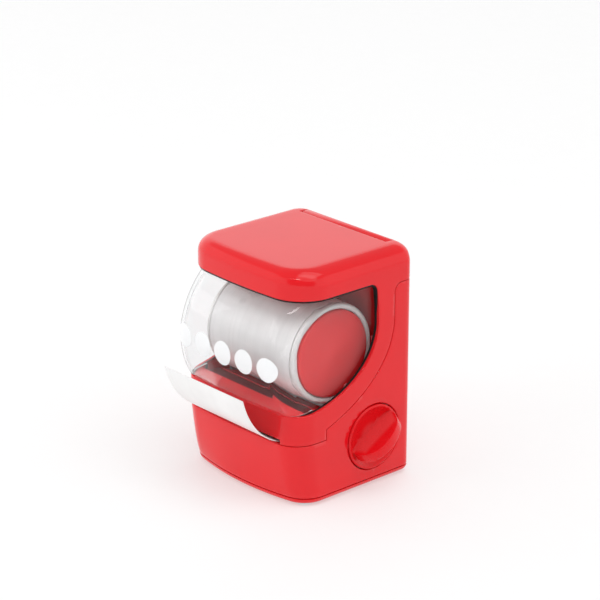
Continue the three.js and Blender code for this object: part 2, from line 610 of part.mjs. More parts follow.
// Clear window: a drum-shaped front with flat side walls.
const DRUM_CORNER = [{ z: 36, corner: 6 }, { z: 65, corner: 9 }, { z: 94, corner: 15 }];
const drumRing = (z, inset) => {
  const [low, high] = z < DRUM_CORNER[1].z ? DRUM_CORNER.slice(0, 2) : DRUM_CORNER.slice(1);
  const corner = THREE.MathUtils.mapLinear(z, low.z, high.z, low.corner, high.corner);
  const front = DRUM.y - Math.sqrt((DRUM.radius - inset) ** 2 - (z - DRUM.z) ** 2);
  return planRing({
    halfWidth: DRUM.halfWidth - inset,
    front,
    bow: DRUM.bow,
    corner: corner - inset,
    rear: 32 - inset,
    rearCorner: 3,
  }, z);
};
const drumSteps = Array.from({ length: 14 }, (_, i) => 38 + (54 * i) / 13);
const makeWindow = () => {
  const outer = toSolid(loft(drumSteps.map((z) => drumRing(z, 0))));
  const inner = toSolid(loft([36.5, ...drumSteps.slice(1, -1), 93].map((z) => drumRing(z, DRUM.wall))));
  const wall = outer.subtract(inner).intersect(toSolid(alongX(windowProfile(), -60, 60)));
  return cut(wall, ...windowScrewPlaces.map(([y, z]) => rod(-60, 60, SCREW_SHANK + GAP, y, z, 12)));
};
add("clear_window", makeWindow(), CLEAR);

// Sill: the red shelf behind the chin, with two lugs that carry the pinch roller.
const makeSill = () => {
  const ears = SIDES.map(([, sign]) => sideBox(sign, 28.6, 30.4, PINCH.y - 3, PINCH.y + 3, PINCH.z - 2.2, 38));
  const plate = box(-32.4, 32.4, -22.6, -6.7, 37.6, 39);
  const room = loft([30, 45].map((z) => bodyRing(z, WALL + GAP)));
  const sill = join(plate, ...ears).intersect(toSolid(room));
  return cut(sill, rod(-40, 40, PINCH.pin + GAP, PINCH.y, PINCH.z, 16));
};
add("sill_bracket", makeSill(), RED);
add("pinch_pin", rod(-31, 31, PINCH.pin, PINCH.y, PINCH.z, 16), STEEL);

const pinchBody = new THREE.Group();
pinchBody.position.set(0, PINCH.y, PINCH.z);
bodyFrame.add(pinchBody);
add("pinch_roller", ring(-24.6, 24.6, PINCH.pin + GAP, PINCH.radius, 0, 0, 28), RUBBER, pinchBody);

// Leaf springs that press the pinch pin down, one beside each lug.
for (const [side, sign] of SIDES) {
  const low = PINCH.z + PINCH.pin + GAP;
  const high = 37.3;
  const leafLine = [[-5, high - 0.4], [-1, low], [1, low], [6, high - 0.4]];
  const below = leafLine.map(([y, z]) => new THREE.Vector2(PINCH.y + y, z));
  const above = leafLine.map(([y, z]) => new THREE.Vector2(PINCH.y + y, z + 0.4)).reverse();
  add(`${side}_pinch_spring`, alongX(new THREE.Shape([...below, ...above]), ...span(sign, 25.6, 28.2)), STEEL);
}

// Screws that hold the window's side walls to the lid, behind the edge of the opening.
let windowScrew = 0;
for (const [, sign] of SIDES) {
  for (const [y, z] of windowScrewPlaces) {
    windowScrew += 1;
    const outline = [[31.3, 0], [31.3, 1.6], [32.5, 1.6], [32.5, SCREW_SHANK], [35.8, SCREW_SHANK], [35.8, 0]];
    add(`window_screw_${windowScrew}`, turned(outline.map(([x, radius]) => [sign * x, radius]), y, z, 12), STEEL);
  }
}

export default dispenser;
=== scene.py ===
import math

import bmesh
import bpy
import numpy as np
from mathutils import Matrix, Vector, geometry


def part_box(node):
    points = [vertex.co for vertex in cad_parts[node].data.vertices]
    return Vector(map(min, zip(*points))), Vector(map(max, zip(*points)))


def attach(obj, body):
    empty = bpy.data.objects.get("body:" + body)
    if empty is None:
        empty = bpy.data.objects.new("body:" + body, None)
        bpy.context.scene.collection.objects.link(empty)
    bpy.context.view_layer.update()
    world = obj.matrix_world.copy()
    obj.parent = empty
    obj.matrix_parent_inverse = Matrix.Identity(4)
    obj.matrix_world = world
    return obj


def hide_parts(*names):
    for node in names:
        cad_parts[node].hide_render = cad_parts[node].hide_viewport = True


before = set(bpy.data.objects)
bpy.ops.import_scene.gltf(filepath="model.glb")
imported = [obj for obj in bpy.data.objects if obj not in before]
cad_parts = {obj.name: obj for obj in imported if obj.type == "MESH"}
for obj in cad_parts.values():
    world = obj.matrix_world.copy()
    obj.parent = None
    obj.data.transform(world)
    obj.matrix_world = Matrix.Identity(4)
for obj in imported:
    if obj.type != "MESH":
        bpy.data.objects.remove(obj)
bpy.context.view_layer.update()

# -------------------- dimensions
# In millimetres, as in the CAD. x is from the body's middle plane; to_frame() moves it to the row frame.
MM = 0.001
shell_low, shell_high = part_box("base_shell")
MIDDLE_X = (shell_low.x + shell_high.x) / 2
WALL = 2.0
GAP = 0.3
HALF_WIDTH = 36.8
REAR = 41.7
HEIGHT = 102.0
FILLET_SIDE, FILLET_FRONT, FILLET_REAR = 7.8, 5.8, 3.7
REAR_CORNER = 4.6
# The plan's front, the radius of its bow and the radius of its front corners, at these heights.
PLAN_Z = [-5, 3.6, 28, 42, 86, 110]
PLAN_FRONT = [-22.3, -23.1, -25.2, -25.2, -22.9, -22.9]
PLAN_BOW = [120, 126, 400, 400, 276, 276]
PLAN_CORNER = [11.4, 11.4, 11.5, 11.5, 16.3, 16.3]
PLATE_BOTTOM, PLATE_TOP, SHELL_BOTTOM = 0.8, 3.3, 3.6
# The line between base and lid: level in front, a step down, a quarter ellipse, then up beside the column.
PART_Z, PART_STEP, PART_Y, PART_ZARC, PART_A, PART_B = 28.2, -6.8, -41.2, 72.8, 72.1, 45.45
PART_COLUMN, PART_ROUND = 87.2, 3.8
# The window's opening: a quarter ellipse below, and above it a steep line to a rounded corner at the visor.
OPEN_CHIN, OPEN_VISOR, OPEN_Y, OPEN_Z, OPEN_A, OPEN_B, OPEN_ROUND = 41.2, 89.9, -21.4, 72.8, 43.4, 31.6, 4.0
OPEN_CORNER_Y, OPEN_BEND_Y, OPEN_BEND_Z = 17.2, 21.8, 80.0
PIN_Y, PIN_Z = 37.6, 99.6  # the hinge, with its block on the base
BLOCK_HALF, BLOCK_FRONT, BLOCK_CLEAR = 26.4, 35.2, 2.6
BLOCK_REAR, BLOCK_BOTTOM, BLOCK_LEDGE = 39.9, 96.6, 97.6
SLOT_HALF, SLOT_TOP = 27.4, 30.4  # the slot in the lid for the tape
# The clear window: a drum that bows a little, with corners that grow rounder towards the top.
DRUM_Y, DRUM_Z, DRUM_R, DRUM_HALF, DRUM_WALL, DRUM_BOW = 6.2, 62.0, 37.5, 34.3, 1.5, 300.0
DRUM_MARGIN, DRUM_STEP, DRUM_REAR, DRUM_REAR_CORNER = 5.5, -12.0, 32.0, 3.0
DRUM_CORNER_Z, DRUM_CORNER = [36, 65, 94], [6, 9, 15]
ROLL_Y, ROLL_Z, ROLL_R, ROLL_HALF, CAP_R = 4.6, 60.6, 21.5, 25.0, 18.8
KNOB_Y, KNOB_Z, KNOB_R, KNOB_TILT = 19.8, 22.0, 14.2, math.radians(32.3)
SEAT_R, SEAT_X, SEAT_BORE, SEAT_WALL = KNOB_R + 0.4, 33.6, 4.0, 1.2
GRIP_ROOT = 34.6  # where the grip ends, inside the disc
FEED_Y, STRIP_Z, TAPE, TAIL_Y, TAIL_TOP = -12.2, 28.475, 0.35, -22.4, 51.4
PINCH_Z, PINCH_R = 32.95, 4.0
TRAY_INNER, TRAY_OUTER, TRAY_HALF, TRAY_TOP, TRAY_START = 24.0, 25.6, 32.0, 84.0, math.radians(-115)
SILL_BOTTOM, SILL_TOP, SILL_REAR, SILL_HALF = 39.05, 41.0, -12.7, 34.0
DOT_X, DOT_Z, DOT_R = (-26.0, -13.0, 0.0, 13.0, 26.0), 62.0, 5.2
# The band of painted shade in the window's gap: its width and its depth, by height.
SHADE_BAND_LIPS = ((90, 0.75), (86, 0.6), (73, 0.5), (60, 0.32), (46, 0.22), (41, 0.12))  # height, width
SHADE_BAND_DEPTHS = ((90, 0.35), (84, 0.5), (76, 1.4), (40, 1.4))  # height, depth below the outside
SHADE_BAND_INNER = 2.4
EDGE = 0.3  # radius of moulded edges
RIM_STEP, FINE_STEP, SEAM_STEP = 1.2, 1.0, 2.6  # spacing of points along rims and seams

# The surface of a shell is charted by (u, v): u runs along the ring, in millimetres, and v up the wall.
KNOTS = np.array([0.0, 26.0, 43.0, 92.0, 99.0, 131.0])  # bow, front corner, side, rear corner, rear
U_SIDE, U_REAR_CORNER, U_REAR, U_END = (float(u) for u in KNOTS[2:])
V_SIDE = HEIGHT - FILLET_SIDE
V_END = V_SIDE + FILLET_SIDE * math.pi / 2

MIRROR = np.array([-1, 1, 1])


def to_frame(points):
    """Millimetres from the body's middle plane to metres in the row frame."""
    out = np.asarray(points, float) * MM
    out[..., 0] += MIDDLE_X
    return out


# -------------------- surfaces
def ring_point(t, half, front, bow, corner, rear, rear_corner):
    """A point of the plan ring for t in 0..5: bow, front corner, side, rear corner, rear."""
    centre = front + bow
    cx = half - corner
    cy = centre - np.sqrt((bow - corner) ** 2 - cx**2)
    turn = np.arctan2(cy - centre, cx)
    a0 = -np.pi / 2 + (turn + np.pi / 2) * np.clip(t, 0, 1)
    a1 = turn * (1 - np.clip(t - 1, 0, 1))
    k2 = np.clip(t - 2, 0, 1)
    a3 = np.pi / 2 * np.clip(t - 3, 0, 1)
    k4 = np.clip(t - 4, 0, 1)
    x = np.select(
        [t <= 1, t <= 2, t <= 3, t <= 4],
        [bow * np.cos(a0), cx + corner * np.cos(a1), half, half - rear_corner + rear_corner * np.cos(a3)],
        (half - rear_corner) * (1 - k4),
    )
    y = np.select(
        [t <= 1, t <= 2, t <= 3, t <= 4],
        [
            centre + bow * np.sin(a0),
            cy + corner * np.sin(a1),
            cy + (rear - rear_corner - cy) * k2,
            rear - rear_corner + rear_corner * np.sin(a3),
        ],
        rear,
    )
    return x, y


def fillet(radius, top, z):
    """How far a wall has turned in at height z, under a top edge rounded by the radius."""
    rise = np.clip(z - (top - radius), 0, radius)
    return radius - np.sqrt(np.maximum(0, radius**2 - rise**2))


def body_surface(u, v, inset=0.0):
    """The outside of the body, or the surface `inset` below it."""
    u, v = np.asarray(u, float), np.asarray(v, float)
    t = np.interp(u, KNOTS, np.arange(6))
    angle = np.clip((v - V_SIDE) / FILLET_SIDE, 0, math.pi / 2)
    z = np.where(v <= V_SIDE, v, V_SIDE + (FILLET_SIDE - inset) * np.sin(angle))
    top = HEIGHT - inset
    side = fillet(FILLET_SIDE - inset, top, z)
    x, y = ring_point(
        t,
        HALF_WIDTH - inset - side,
        np.interp(z, PLAN_Z, PLAN_FRONT) + inset + fillet(FILLET_FRONT - inset, top, z),
        np.interp(z, PLAN_Z, PLAN_BOW),
        np.interp(z, PLAN_Z, PLAN_CORNER) - inset - side * 0.9,
        REAR - inset - fillet(FILLET_REAR - inset, top, z),
        REAR_CORNER - inset,
    )
    return np.stack(np.broadcast_arrays(x, y, z), -1)


def drum_surface(u, v, inset=0.0):
    """The outside of the clear window, or the surface `inset` below it."""
    u, z = np.asarray(u, float), np.asarray(v, float)
    t = np.interp(u, KNOTS, np.arange(6))
    x, y = ring_point(
        t,
        DRUM_HALF - inset,
        DRUM_Y - np.sqrt((DRUM_R - inset) ** 2 - (z - DRUM_Z) ** 2),
        DRUM_BOW,
        np.interp(z, DRUM_CORNER_Z, DRUM_CORNER) - inset,
        DRUM_REAR - inset,
        DRUM_REAR_CORNER,
    )
    return np.stack(np.broadcast_arrays(x, y, z), -1)


def solve_u(surface, axis, value, v, low, high):
    """The u between low and high at which the surface's x or y is `value`, at height v."""
    rising = surface(high, v)[axis] > surface(low, v)[axis]
    for _ in range(40):
        middle = (low + high) / 2
        if (surface(middle, v)[axis] < value) == rising:
            low = middle
        else:
            high = middle
    return (low + high) / 2


def side_place(surface, y, z):
    """The chart's point for a point (y, z) of the side view, on the +x side."""
    return solve_u(surface, 1, y, z, 0.0, U_REAR), z


def side_line(surface, points):
    return [side_place(surface, y, z) for y, z in points]


def dense(points, step):
    """The polyline with points added so that none is further than `step` from the next."""
    out = [tuple(points[0])]
    for a, b in zip(points, points[1:]):
        count = max(1, int(math.ceil(math.dist(a, b) / step)))
        for k in range(1, count + 1):
            out.append((a[0] + (b[0] - a[0]) * k / count, a[1] + (b[1] - a[1]) * k / count))
    return out


def arc(cy, cz, a, b, start, end, steps):
    """Points of an ellipse's arc in (y, z), with its angles in radians."""
    angles = np.linspace(start, end, steps + 1)
    return [(cy + a * math.cos(t), cz + b * math.sin(t)) for t in angles]


def spread(counts, knots=KNOTS):
    """Values along the knots, with the given count of steps from each knot to the next."""
    parts = [np.linspace(a, b, n + 1)[:-1] for n, a, b in zip(counts, knots, knots[1:])]
    return np.concatenate([*parts, [knots[len(counts)]]])


# -------------------- meshes
def linked(name, data):
    """A new object in the scene, with the given mesh, lamp or camera."""
    item = bpy.data.objects.new(name, data)
    bpy.context.scene.collection.objects.link(item)
    return item


def unit(vectors):
    """The vectors at length one, row by row."""
    return vectors / np.maximum(1e-12, np.linalg.norm(vectors, axis=1))[:, None]


def flipped(faces):
    return [tuple(reversed(f)) for f in faces]


class Build:
    """Collects vertices and faces in millimetres, then makes one welded mesh of them."""

    def __init__(self):
        self.points, self.faces = [], []

    def add(self, points, faces):
        start = sum(len(p) for p in self.points)
        self.points.append(np.asarray(points, float))
        self.faces += [tuple(int(i) + start for i in f) for f in faces]

    def rows(self, rows, closed=False):
        """Quads between rows of points, each of the same length."""
        rows = [np.asarray(r, float) for r in rows]
        n = len(rows[0])
        faces = []
        for r in range(len(rows) - 1):
            for i in range(n if closed else n - 1):
                j = (i + 1) % n
                faces.append((r * n + i, r * n + j, (r + 1) * n + j, (r + 1) * n + i))
        self.add(np.concatenate(rows), faces)

    def cap(self, row):
        """One face over a closed row."""
        self.add(row, [tuple(range(len(row)))])

    def mirrored(self):
        """Adds a copy on the other side of the middle plane."""
        self.add(np.concatenate(self.points) * MIRROR, flipped(self.faces))

    def object(self, name, angle=32.0, weld=0.02):
        mesh = bpy.data.meshes.new(name)
        points = to_frame(np.concatenate(self.points))
        mesh.from_pydata([tuple(p) for p in points], [], self.faces)
        bm = bmesh.new()
        bm.from_mesh(mesh)
        bmesh.ops.remove_doubles(bm, verts=bm.verts, dist=weld * MM)
        bmesh.ops.dissolve_degenerate(bm, dist=1e-7, edges=bm.edges)
        bmesh.ops.recalc_face_normals(bm, faces=bm.faces)
        bm.to_mesh(mesh)
        bm.free()
        mesh.polygons.foreach_set("use_smooth", [True] * len(mesh.polygons))
        mesh.set_sharp_from_angle(angle=math.radians(angle))
        return linked(name, mesh)


def inside(polygon, points):
    """Which points are inside the polygon, as a mask."""
    poly = np.asarray(polygon)
    x, y = points[:, 0], points[:, 1]
    result = np.zeros(len(points), bool)
    for (x0, y0), (x1, y1) in zip(poly, np.roll(poly, -1, 0)):
        if y0 == y1:
            continue
        crosses = ((y0 > y) != (y1 > y)) & (x < (x1 - x0) * (y - y0) / (y1 - y0) + x0)
        result ^= crosses
    return result


def far_from(polygon, points, distance):
    """Which points are further than the distance from the polygon's line, as a mask."""
    poly = np.asarray(polygon)
    keep = np.ones(len(points), bool)
    for a, b in zip(poly, np.roll(poly, -1, 0)):
        d = b - a
        t = np.clip(((points - a) @ d) / max(1e-12, d @ d), 0, 1)
        keep &= np.linalg.norm(points - (a + t[:, None] * d), axis=1) > distance
    return keep


def triangulated(outline, holes, grid, clear=0.55):
    """The outline's region of the chart as (points, triangles).
    The first points are the outline's, then come the holes' and those of the grid that are clear of both."""
    loops = [list(outline), *map(list, holes)]
    grid = np.asarray(grid, float)
    keep = inside(outline, grid)
    for hole in holes:
        keep &= ~inside(hole, grid)
    for loop in loops:
        keep &= far_from(loop, grid, clear)
    fixed, edges = [], []
    for loop in loops:
        start = len(fixed)
        fixed += loop
        edges += [(start + i, start + (i + 1) % len(loop)) for i in range(len(loop))]
    points = np.concatenate([np.asarray(fixed, float), grid[keep]])
    out = geometry.delaunay_2d_cdt([Vector(p) for p in points], edges, [], 0, 1e-7, True)
    made = np.array([tuple(v) for v in out[0]])
    source = [min(o) if o else -1 for o in out[3]]
    faces = out[2]
    middles = np.array([made[list(f)].mean(0) for f in faces])
    good = inside(outline, middles)
    for hole in holes:
        good &= ~inside(hole, middles)
    return points, [tuple(source[i] for i in f) for f, g in zip(faces, good) if g]


def grid_points(us, vs):
    return np.array([(u, v) for u in us for v in vs])


def normals_at(surface, chart, h=0.02):
    """The surface's normals at the chart's points, from differences over a distance h."""
    u, v = chart[:, 0], chart[:, 1]
    du = surface(u + h, v) - surface(u - h, v)
    dv = surface(u, np.minimum(v + h, V_END)) - surface(u, v - h)
    return unit(np.cross(du, dv))


def rim_rows(points, normals, inward, inner, radius):
    """Rows of a wall's edge: round at the outside, then straight to the inside."""
    rows = []
    for k in range(4):
        angle = math.pi / 2 * k / 3
        aside, down = radius * (1 - math.sin(angle)), radius * (1 - math.cos(angle))
        rows.append(points + inward * aside - normals * down)
    return [*rows, inner]


def shell_panel(build, surface, outline, rims, grid, wall, hole=None, radius=EDGE, keep_in=None):
    """A wall over a region of a chart: outside, inside, and round rims along parts of the outline. rims
    lists (first, last) indices into the outline; the rest of it is left open, to be welded. keep_in may
    move the inside's points. The hole's rim is twice as round as the others."""
    holes = [hole] if hole else []
    chart, faces = triangulated(outline, holes, grid)
    outside = surface(chart[:, 0], chart[:, 1])
    inner = surface(chart[:, 0], chart[:, 1], wall)
    if keep_in is not None:
        inner = keep_in(inner)
    normals = normals_at(surface, chart)
    runs = [(list(range(a, b + 1)), False) for a, b in rims]
    if hole:
        runs.append((list(range(len(outline), len(outline) + len(hole))), True))
    faces_at = {}
    for f in faces:
        for i in f:
            faces_at.setdefault(i, []).append(f)
    moved = outside.copy()
    for run, closed in runs:
        p = outside[run]
        if closed:
            tangent = np.roll(p, -1, 0) - np.roll(p, 1, 0)
        else:
            tangent = np.gradient(p, axis=0)
        inward = unit(np.cross(normals[run], tangent))
        # Turn it towards the material.
        k = run[len(run) // 2]
        near = np.mean([outside[list(f)].mean(0) for f in faces_at[k]], axis=0) - outside[k]
        if near @ inward[len(run) // 2] < 0:
            inward = -inward
        rows = rim_rows(p, normals[run], inward, inner[run], radius * (2 if closed else 1))
        moved[run] = rows[0]
        build.rows(rows, closed)
    build.add(moved, faces)
    build.add(inner, flipped(faces))


def lathe(build, profile, y, z, segments):
    """A piece turned about an axis along x at (y, z). Its (x, radius) profile is closed or meets the axis."""
    angles = np.linspace(0, 2 * np.pi, segments, endpoint=False)
    rows = []
    for x, radius in profile:
        circle = [np.full(segments, x), y + radius * np.cos(angles), z + radius * np.sin(angles)]
        rows.append(np.stack(circle, -1))
    build.rows(rows, closed=True)


def rounded(points, radius):
    """A polyline with its corners rounded, for profiles. Its two ends stay."""
    points = [np.array(p, float) for p in points]
    out = [tuple(points[0])]
    for a, p, b in zip(points, points[1:], points[2:]):
        la, lb = np.linalg.norm(a - p), np.linalg.norm(b - p)
        cut = min(radius, la * 0.45, lb * 0.45)
        start, end = p + (a - p) / la * cut, p + (b - p) / lb * cut
        for t in (0, 1 / 3, 2 / 3, 1):
            out.append(tuple((1 - t) ** 2 * start + 2 * t * (1 - t) * p + t**2 * end))
    return [*out, tuple(points[-1])]


def prism(build, outline, half):
    """A closed outline in (y, z), made solid over `half` to each side, with bevels at its two faces."""
    points = np.asarray(outline, float)
    area = np.sum(points[:, 0] * np.roll(points[:, 1], -1) - np.roll(points[:, 0], -1) * points[:, 1])
    if area < 0:
        points = points[::-1]
    normal = np.zeros_like(points)
    for d in (points - np.roll(points, 1, 0), np.roll(points, -1, 0) - points):
        normal += unit(np.stack([d[:, 1], -d[:, 0]], -1))
    normal = unit(normal)
    # Each step is (distance from the end, inset).
    steps = [(0, EDGE), (EDGE * 0.3, EDGE * 0.3), (EDGE, 0)]
    levels = [(x - half, inset) for x, inset in steps] + [(half - x, inset) for x, inset in reversed(steps)]
    rows = [np.column_stack([np.full(len(points), x), points - normal * inset]) for x, inset in levels]
    build.rows(rows, closed=True)
    faces = geometry.tessellate_polygon([[Vector((p[0], p[1], 0)) for p in rows[0][:, 1:]]])
    build.add(rows[0], faces)
    build.add(rows[-1], flipped(faces))


def boolean(piece, operation, tool, bevel=None):
    """Cuts the piece with the tool, or joins them. The tool is removed, and a bevel may soften the edges."""
    join = piece.modifiers.new("join", "BOOLEAN")
    join.operation, join.object, join.solver = operation, tool, "EXACT"
    if bevel:
        soften = piece.modifiers.new("soften", "BEVEL")
        soften.width, soften.segments, soften.limit_method = bevel * MM, 3, "ANGLE"
        soften.angle_limit = math.radians(50)
    bpy.context.view_layer.update()
    solid = bpy.data.meshes.new_from_object(piece.evaluated_get(bpy.context.evaluated_depsgraph_get()))
    piece.modifiers.clear()
    piece.data = solid
    bpy.data.objects.remove(tool)
    return piece


def cutter(name, bm):
    """An object to cut with, made of a bmesh in metres."""
    mesh = bpy.data.meshes.new(name)
    bm.to_mesh(mesh)
    bm.free()
    return linked(name, mesh)


def bezier(points, steps):
    """Points of a cubic curve from its four control points."""
    p = [np.array(q, float) for q in points]
    t = np.linspace(0, 1, steps + 1)[:, None]
    return (1 - t) ** 3 * p[0] + 3 * t * (1 - t) ** 2 * p[1] + 3 * t**2 * (1 - t) * p[2] + t**3 * p[3]


# -------------------- materials
def new_material(name):
    """An empty material with one Principled shader, and what is needed to add to it."""
    material = bpy.data.materials.new(name)
    material.use_nodes = True
    tree = material.node_tree
    tree.nodes.clear()
    out = tree.nodes.new("ShaderNodeOutputMaterial")
    shader = tree.nodes.new("ShaderNodeBsdfPrincipled")
    tree.links.new(shader.outputs["BSDF"], out.inputs["Surface"])
    return material, tree, shader, out


def noise(tree, coordinates, scale, detail, rough=0.55, stretch=None):
    source = coordinates
    if stretch:
        mapping = tree.nodes.new("ShaderNodeMapping")
        mapping.inputs["Scale"].default_value = stretch
        tree.links.new(coordinates, mapping.inputs["Vector"])
        source = mapping.outputs["Vector"]
    n = tree.nodes.new("ShaderNodeTexNoise")
    n.inputs["Scale"].default_value = scale
    n.inputs["Detail"].default_value = detail
    n.inputs["Roughness"].default_value = rough
    tree.links.new(source, n.inputs["Vector"])
    return n.outputs["Fac"]


def ramp(tree, source, stops):
    r = tree.nodes.new("ShaderNodeValToRGB")
    while len(r.color_ramp.elements) < len(stops):
        r.color_ramp.elements.new(0.5)
    for element, (position, colour) in zip(r.color_ramp.elements, stops):
        element.position = position
        element.color = (*colour, 1)
    tree.links.new(source, r.inputs["Fac"])
    return r.outputs["Color"]


def map_range(tree, source, low, high, from_low=0.3, from_high=0.7, smooth=False):
    m = tree.nodes.new("ShaderNodeMapRange")
    if smooth:
        m.interpolation_type = "SMOOTHSTEP"
    for key, value in (("From Min", from_low), ("From Max", from_high), ("To Min", low), ("To Max", high)):
        m.inputs[key].default_value = value
    tree.links.new(source, m.inputs["Value"])
    return m.outputs["Result"]


def mixed(tree, a, b, factor=1.0, blend="MIX"):
    """A mix of two colours. Each of the three values may also be another node's output."""
    mix = tree.nodes.new("ShaderNodeMix")
    mix.data_type, mix.blend_type = "RGBA", blend
    for key, value in (("Factor", factor), ("A", a), ("B", b)):
        if isinstance(value, bpy.types.NodeSocket):
            tree.links.new(value, mix.inputs[key])
        else:
            mix.inputs[key].default_value = value
    return mix.outputs["Result"]


def add_bump(tree, shader, height, strength, distance=0.0002):
    bump = tree.nodes.new("ShaderNodeBump")
    bump.inputs["Strength"].default_value = strength
    bump.inputs["Distance"].default_value = distance
    tree.links.new(height, bump.inputs["Height"])
    tree.links.new(bump.outputs["Normal"], shader.inputs["Normal"])


def moulded(
    name, colour, rough, vary, wear, grain, fine=1800, metal=0.0, stretch=None, specular=0.5, ior=1.5
):
    """Moulded or machined stuff: slow colour variation, pale worn edges, fine grain in roughness and bump."""
    material, tree, shader, _ = new_material(name)
    coordinates = tree.nodes.new("ShaderNodeTexCoord").outputs["Object"]
    slow = noise(tree, coordinates, 38, 3)
    light = tuple(min(1, c * (1 + vary)) for c in colour)
    dark = tuple(c * (1 - vary) for c in colour)
    base = ramp(tree, slow, [(0.3, dark), (0.7, light)])
    point = tree.nodes.new("ShaderNodeNewGeometry").outputs["Pointiness"]
    edge = map_range(tree, point, 0.0, wear, 0.53, 0.62)
    worn = (*tuple(c + (1 - c) * 0.35 for c in colour), 1)
    tree.links.new(mixed(tree, base, worn, edge), shader.inputs["Base Color"])
    smudge = noise(tree, coordinates, 120, 5, 0.6, stretch)
    tree.links.new(map_range(tree, smudge, *rough), shader.inputs["Roughness"])
    add_bump(tree, shader, noise(tree, coordinates, fine, 2, 0.5, stretch), grain)
    shader.inputs["Metallic"].default_value = metal
    shader.inputs["Specular IOR Level"].default_value = specular
    shader.inputs["IOR"].default_value = ior
    return material


def clear_plastic(name):
    """Clear plastic, with painted shade where it is seen edge on, for the dark lines at its edges. Lamps
    reach what is behind it, slightly tinted.
    """
    material, tree, shader, out = new_material(name)
    coordinates = tree.nodes.new("ShaderNodeTexCoord").outputs["Object"]
    slow = noise(tree, coordinates, 60, 3)
    tint = ramp(tree, slow, [(0.3, (0.935, 0.94, 0.945)), (0.7, (0.965, 0.967, 0.97))])
    facing = tree.nodes.new("ShaderNodeLayerWeight").outputs["Facing"]
    # Painted shade: the base colour turns dark where the surface is seen edge on.
    painted_edge_shade = map_range(tree, facing, 0.0, 0.97, 0.71, 0.86)
    tree.links.new(mixed(tree, tint, (0.07, 0.07, 0.075, 1), painted_edge_shade), shader.inputs["Base Color"])
    shader.inputs["Transmission Weight"].default_value = 1.0
    shader.inputs["IOR"].default_value = 1.3
    tree.links.new(map_range(tree, slow, 0.0, 0.02), shader.inputs["Roughness"])
    add_bump(tree, shader, noise(tree, coordinates, 45, 2), 0.04, 0.0004)
    path = tree.nodes.new("ShaderNodeLightPath")
    through = tree.nodes.new("ShaderNodeBsdfTransparent")
    through.inputs["Color"].default_value = (0.95, 0.955, 0.96, 1)
    pick = tree.nodes.new("ShaderNodeMixShader")
    tree.links.new(path.outputs["Is Shadow Ray"], pick.inputs["Fac"])
    tree.links.new(shader.outputs["BSDF"], pick.inputs[1])
    tree.links.new(through.outputs["BSDF"], pick.inputs[2])
    tree.links.new(pick.outputs["Shader"], out.inputs["Surface"])
    return material


def film(name, colour, streak, rough, stretches):
    """Wound or pulled tape: faint streaks along each stretch and a soft satin finish."""
    material, tree, shader, _ = new_material(name)
    coordinates = tree.nodes.new("ShaderNodeTexCoord").outputs["Object"]
    patches = noise(tree, coordinates, 34, 4)
    layers = [ramp(tree, patches, [(0.35, (0.92, 0.915, 0.915)), (0.65, (1, 1, 1))])]
    for stretch in stretches:
        lines = noise(tree, coordinates, 1.0, 4, 0.6, stretch)
        layers.append(ramp(tree, lines, [(0.3, (1 - streak,) * 3), (0.62, (1, 1, 1))]))
    base = (*colour, 1)
    for layer in layers:
        base = mixed(tree, base, layer, blend="MULTIPLY")
    tree.links.new(base, shader.inputs["Base Color"])
    tree.links.new(map_range(tree, patches, *rough), shader.inputs["Roughness"])
    add_bump(tree, shader, lines, 0.08)
    return material


# name, colour, roughness from and to, variation of the colour, wear of the edges, grain
RED = moulded("glossy_red", (0.725, 0.0062, 0.011), (0.035, 0.07), 0.03, 0.1, 0.006, ior=1.44)
KNOB_RED = moulded("knob_red", (0.72, 0.0045, 0.009), (0.24, 0.32), 0.03, 0.1, 0.012, ior=1.33)
# Painted shade: a darker copy of the red, for the bracket under the shelf.
SHADED_RED = moulded("painted_shade_red", (0.12, 0.003, 0.004), (0.3, 0.4), 0.05, 0.05, 0.03, ior=1.25)
CAP_RED = moulded("cap_red", (0.74, 0.020, 0.024), (0.38, 0.5), 0.06, 0.1, 0.04)
DEEP_RED = moulded("deep_red", (0.42, 0.01, 0.016), (0.3, 0.4), 0.08, 0.2, 0.03)
# Painted light: a brighter copy of the red, for the shelf that sits in the shade of the visor and the roll.
LIT_SILL_RED = moulded("sill_red_painted_light", (0.93, 0.020, 0.028), (0.12, 0.2), 0.04, 0.05, 0.01, ior=1.4)
TRAY_RED = moulded("tray_red", (0.62, 0.006, 0.009), (0.3, 0.4), 0.05, 0.05, 0.03, ior=1.3)
PALE = moulded("pale_plastic", (0.70, 0.68, 0.67), (0.2, 0.32), 0.05, 0.3, 0.02)
GREY = moulded("grey_plastic", (0.16, 0.165, 0.17), (0.35, 0.5), 0.12, 0.3, 0.05)
NYLON = moulded("nylon", (0.79, 0.76, 0.68), (0.35, 0.5), 0.05, 0.3, 0.04)
RUBBER = moulded("rubber", (0.028, 0.028, 0.03), (0.7, 0.9), 0.2, 0.2, 0.12, fine=2600)
PAINTED_SHADE_BLACK = moulded("painted_shade_black", (0.004,) * 3, (0.45, 0.6), 0.2, 0.02, 0.05, specular=0.15)
CARD = moulded("card", (0.44, 0.27, 0.13), (0.8, 0.95), 0.15, 0.2, 0.15, fine=900)
STEEL = moulded("steel", (0.56, 0.57, 0.59), (0.18, 0.34), 0.06, 0.3, 0.03, metal=1.0, stretch=(0.1, 1, 1))
INK = moulded("white_print", (0.86, 0.87, 0.88), (0.35, 0.45), 0.02, 0.1, 0.03)
FLOOR = moulded("floor_white", (0.50,) * 3, (0.6, 0.7), 0.004, 0.0, 0.0, specular=0.2)
CLEAR = clear_plastic("clear_plastic_fine")
ROLL_TAPE = film("wound_tape", (0.80, 0.785, 0.78), 0.06, (0.22, 0.4), [(700, 6, 6), (12, 230, 230)])
STRIP_TAPE = film("tape_strip_white", (0.86, 0.86, 0.855), 0.02, (0.3, 0.4), [(500, 9, 9)])

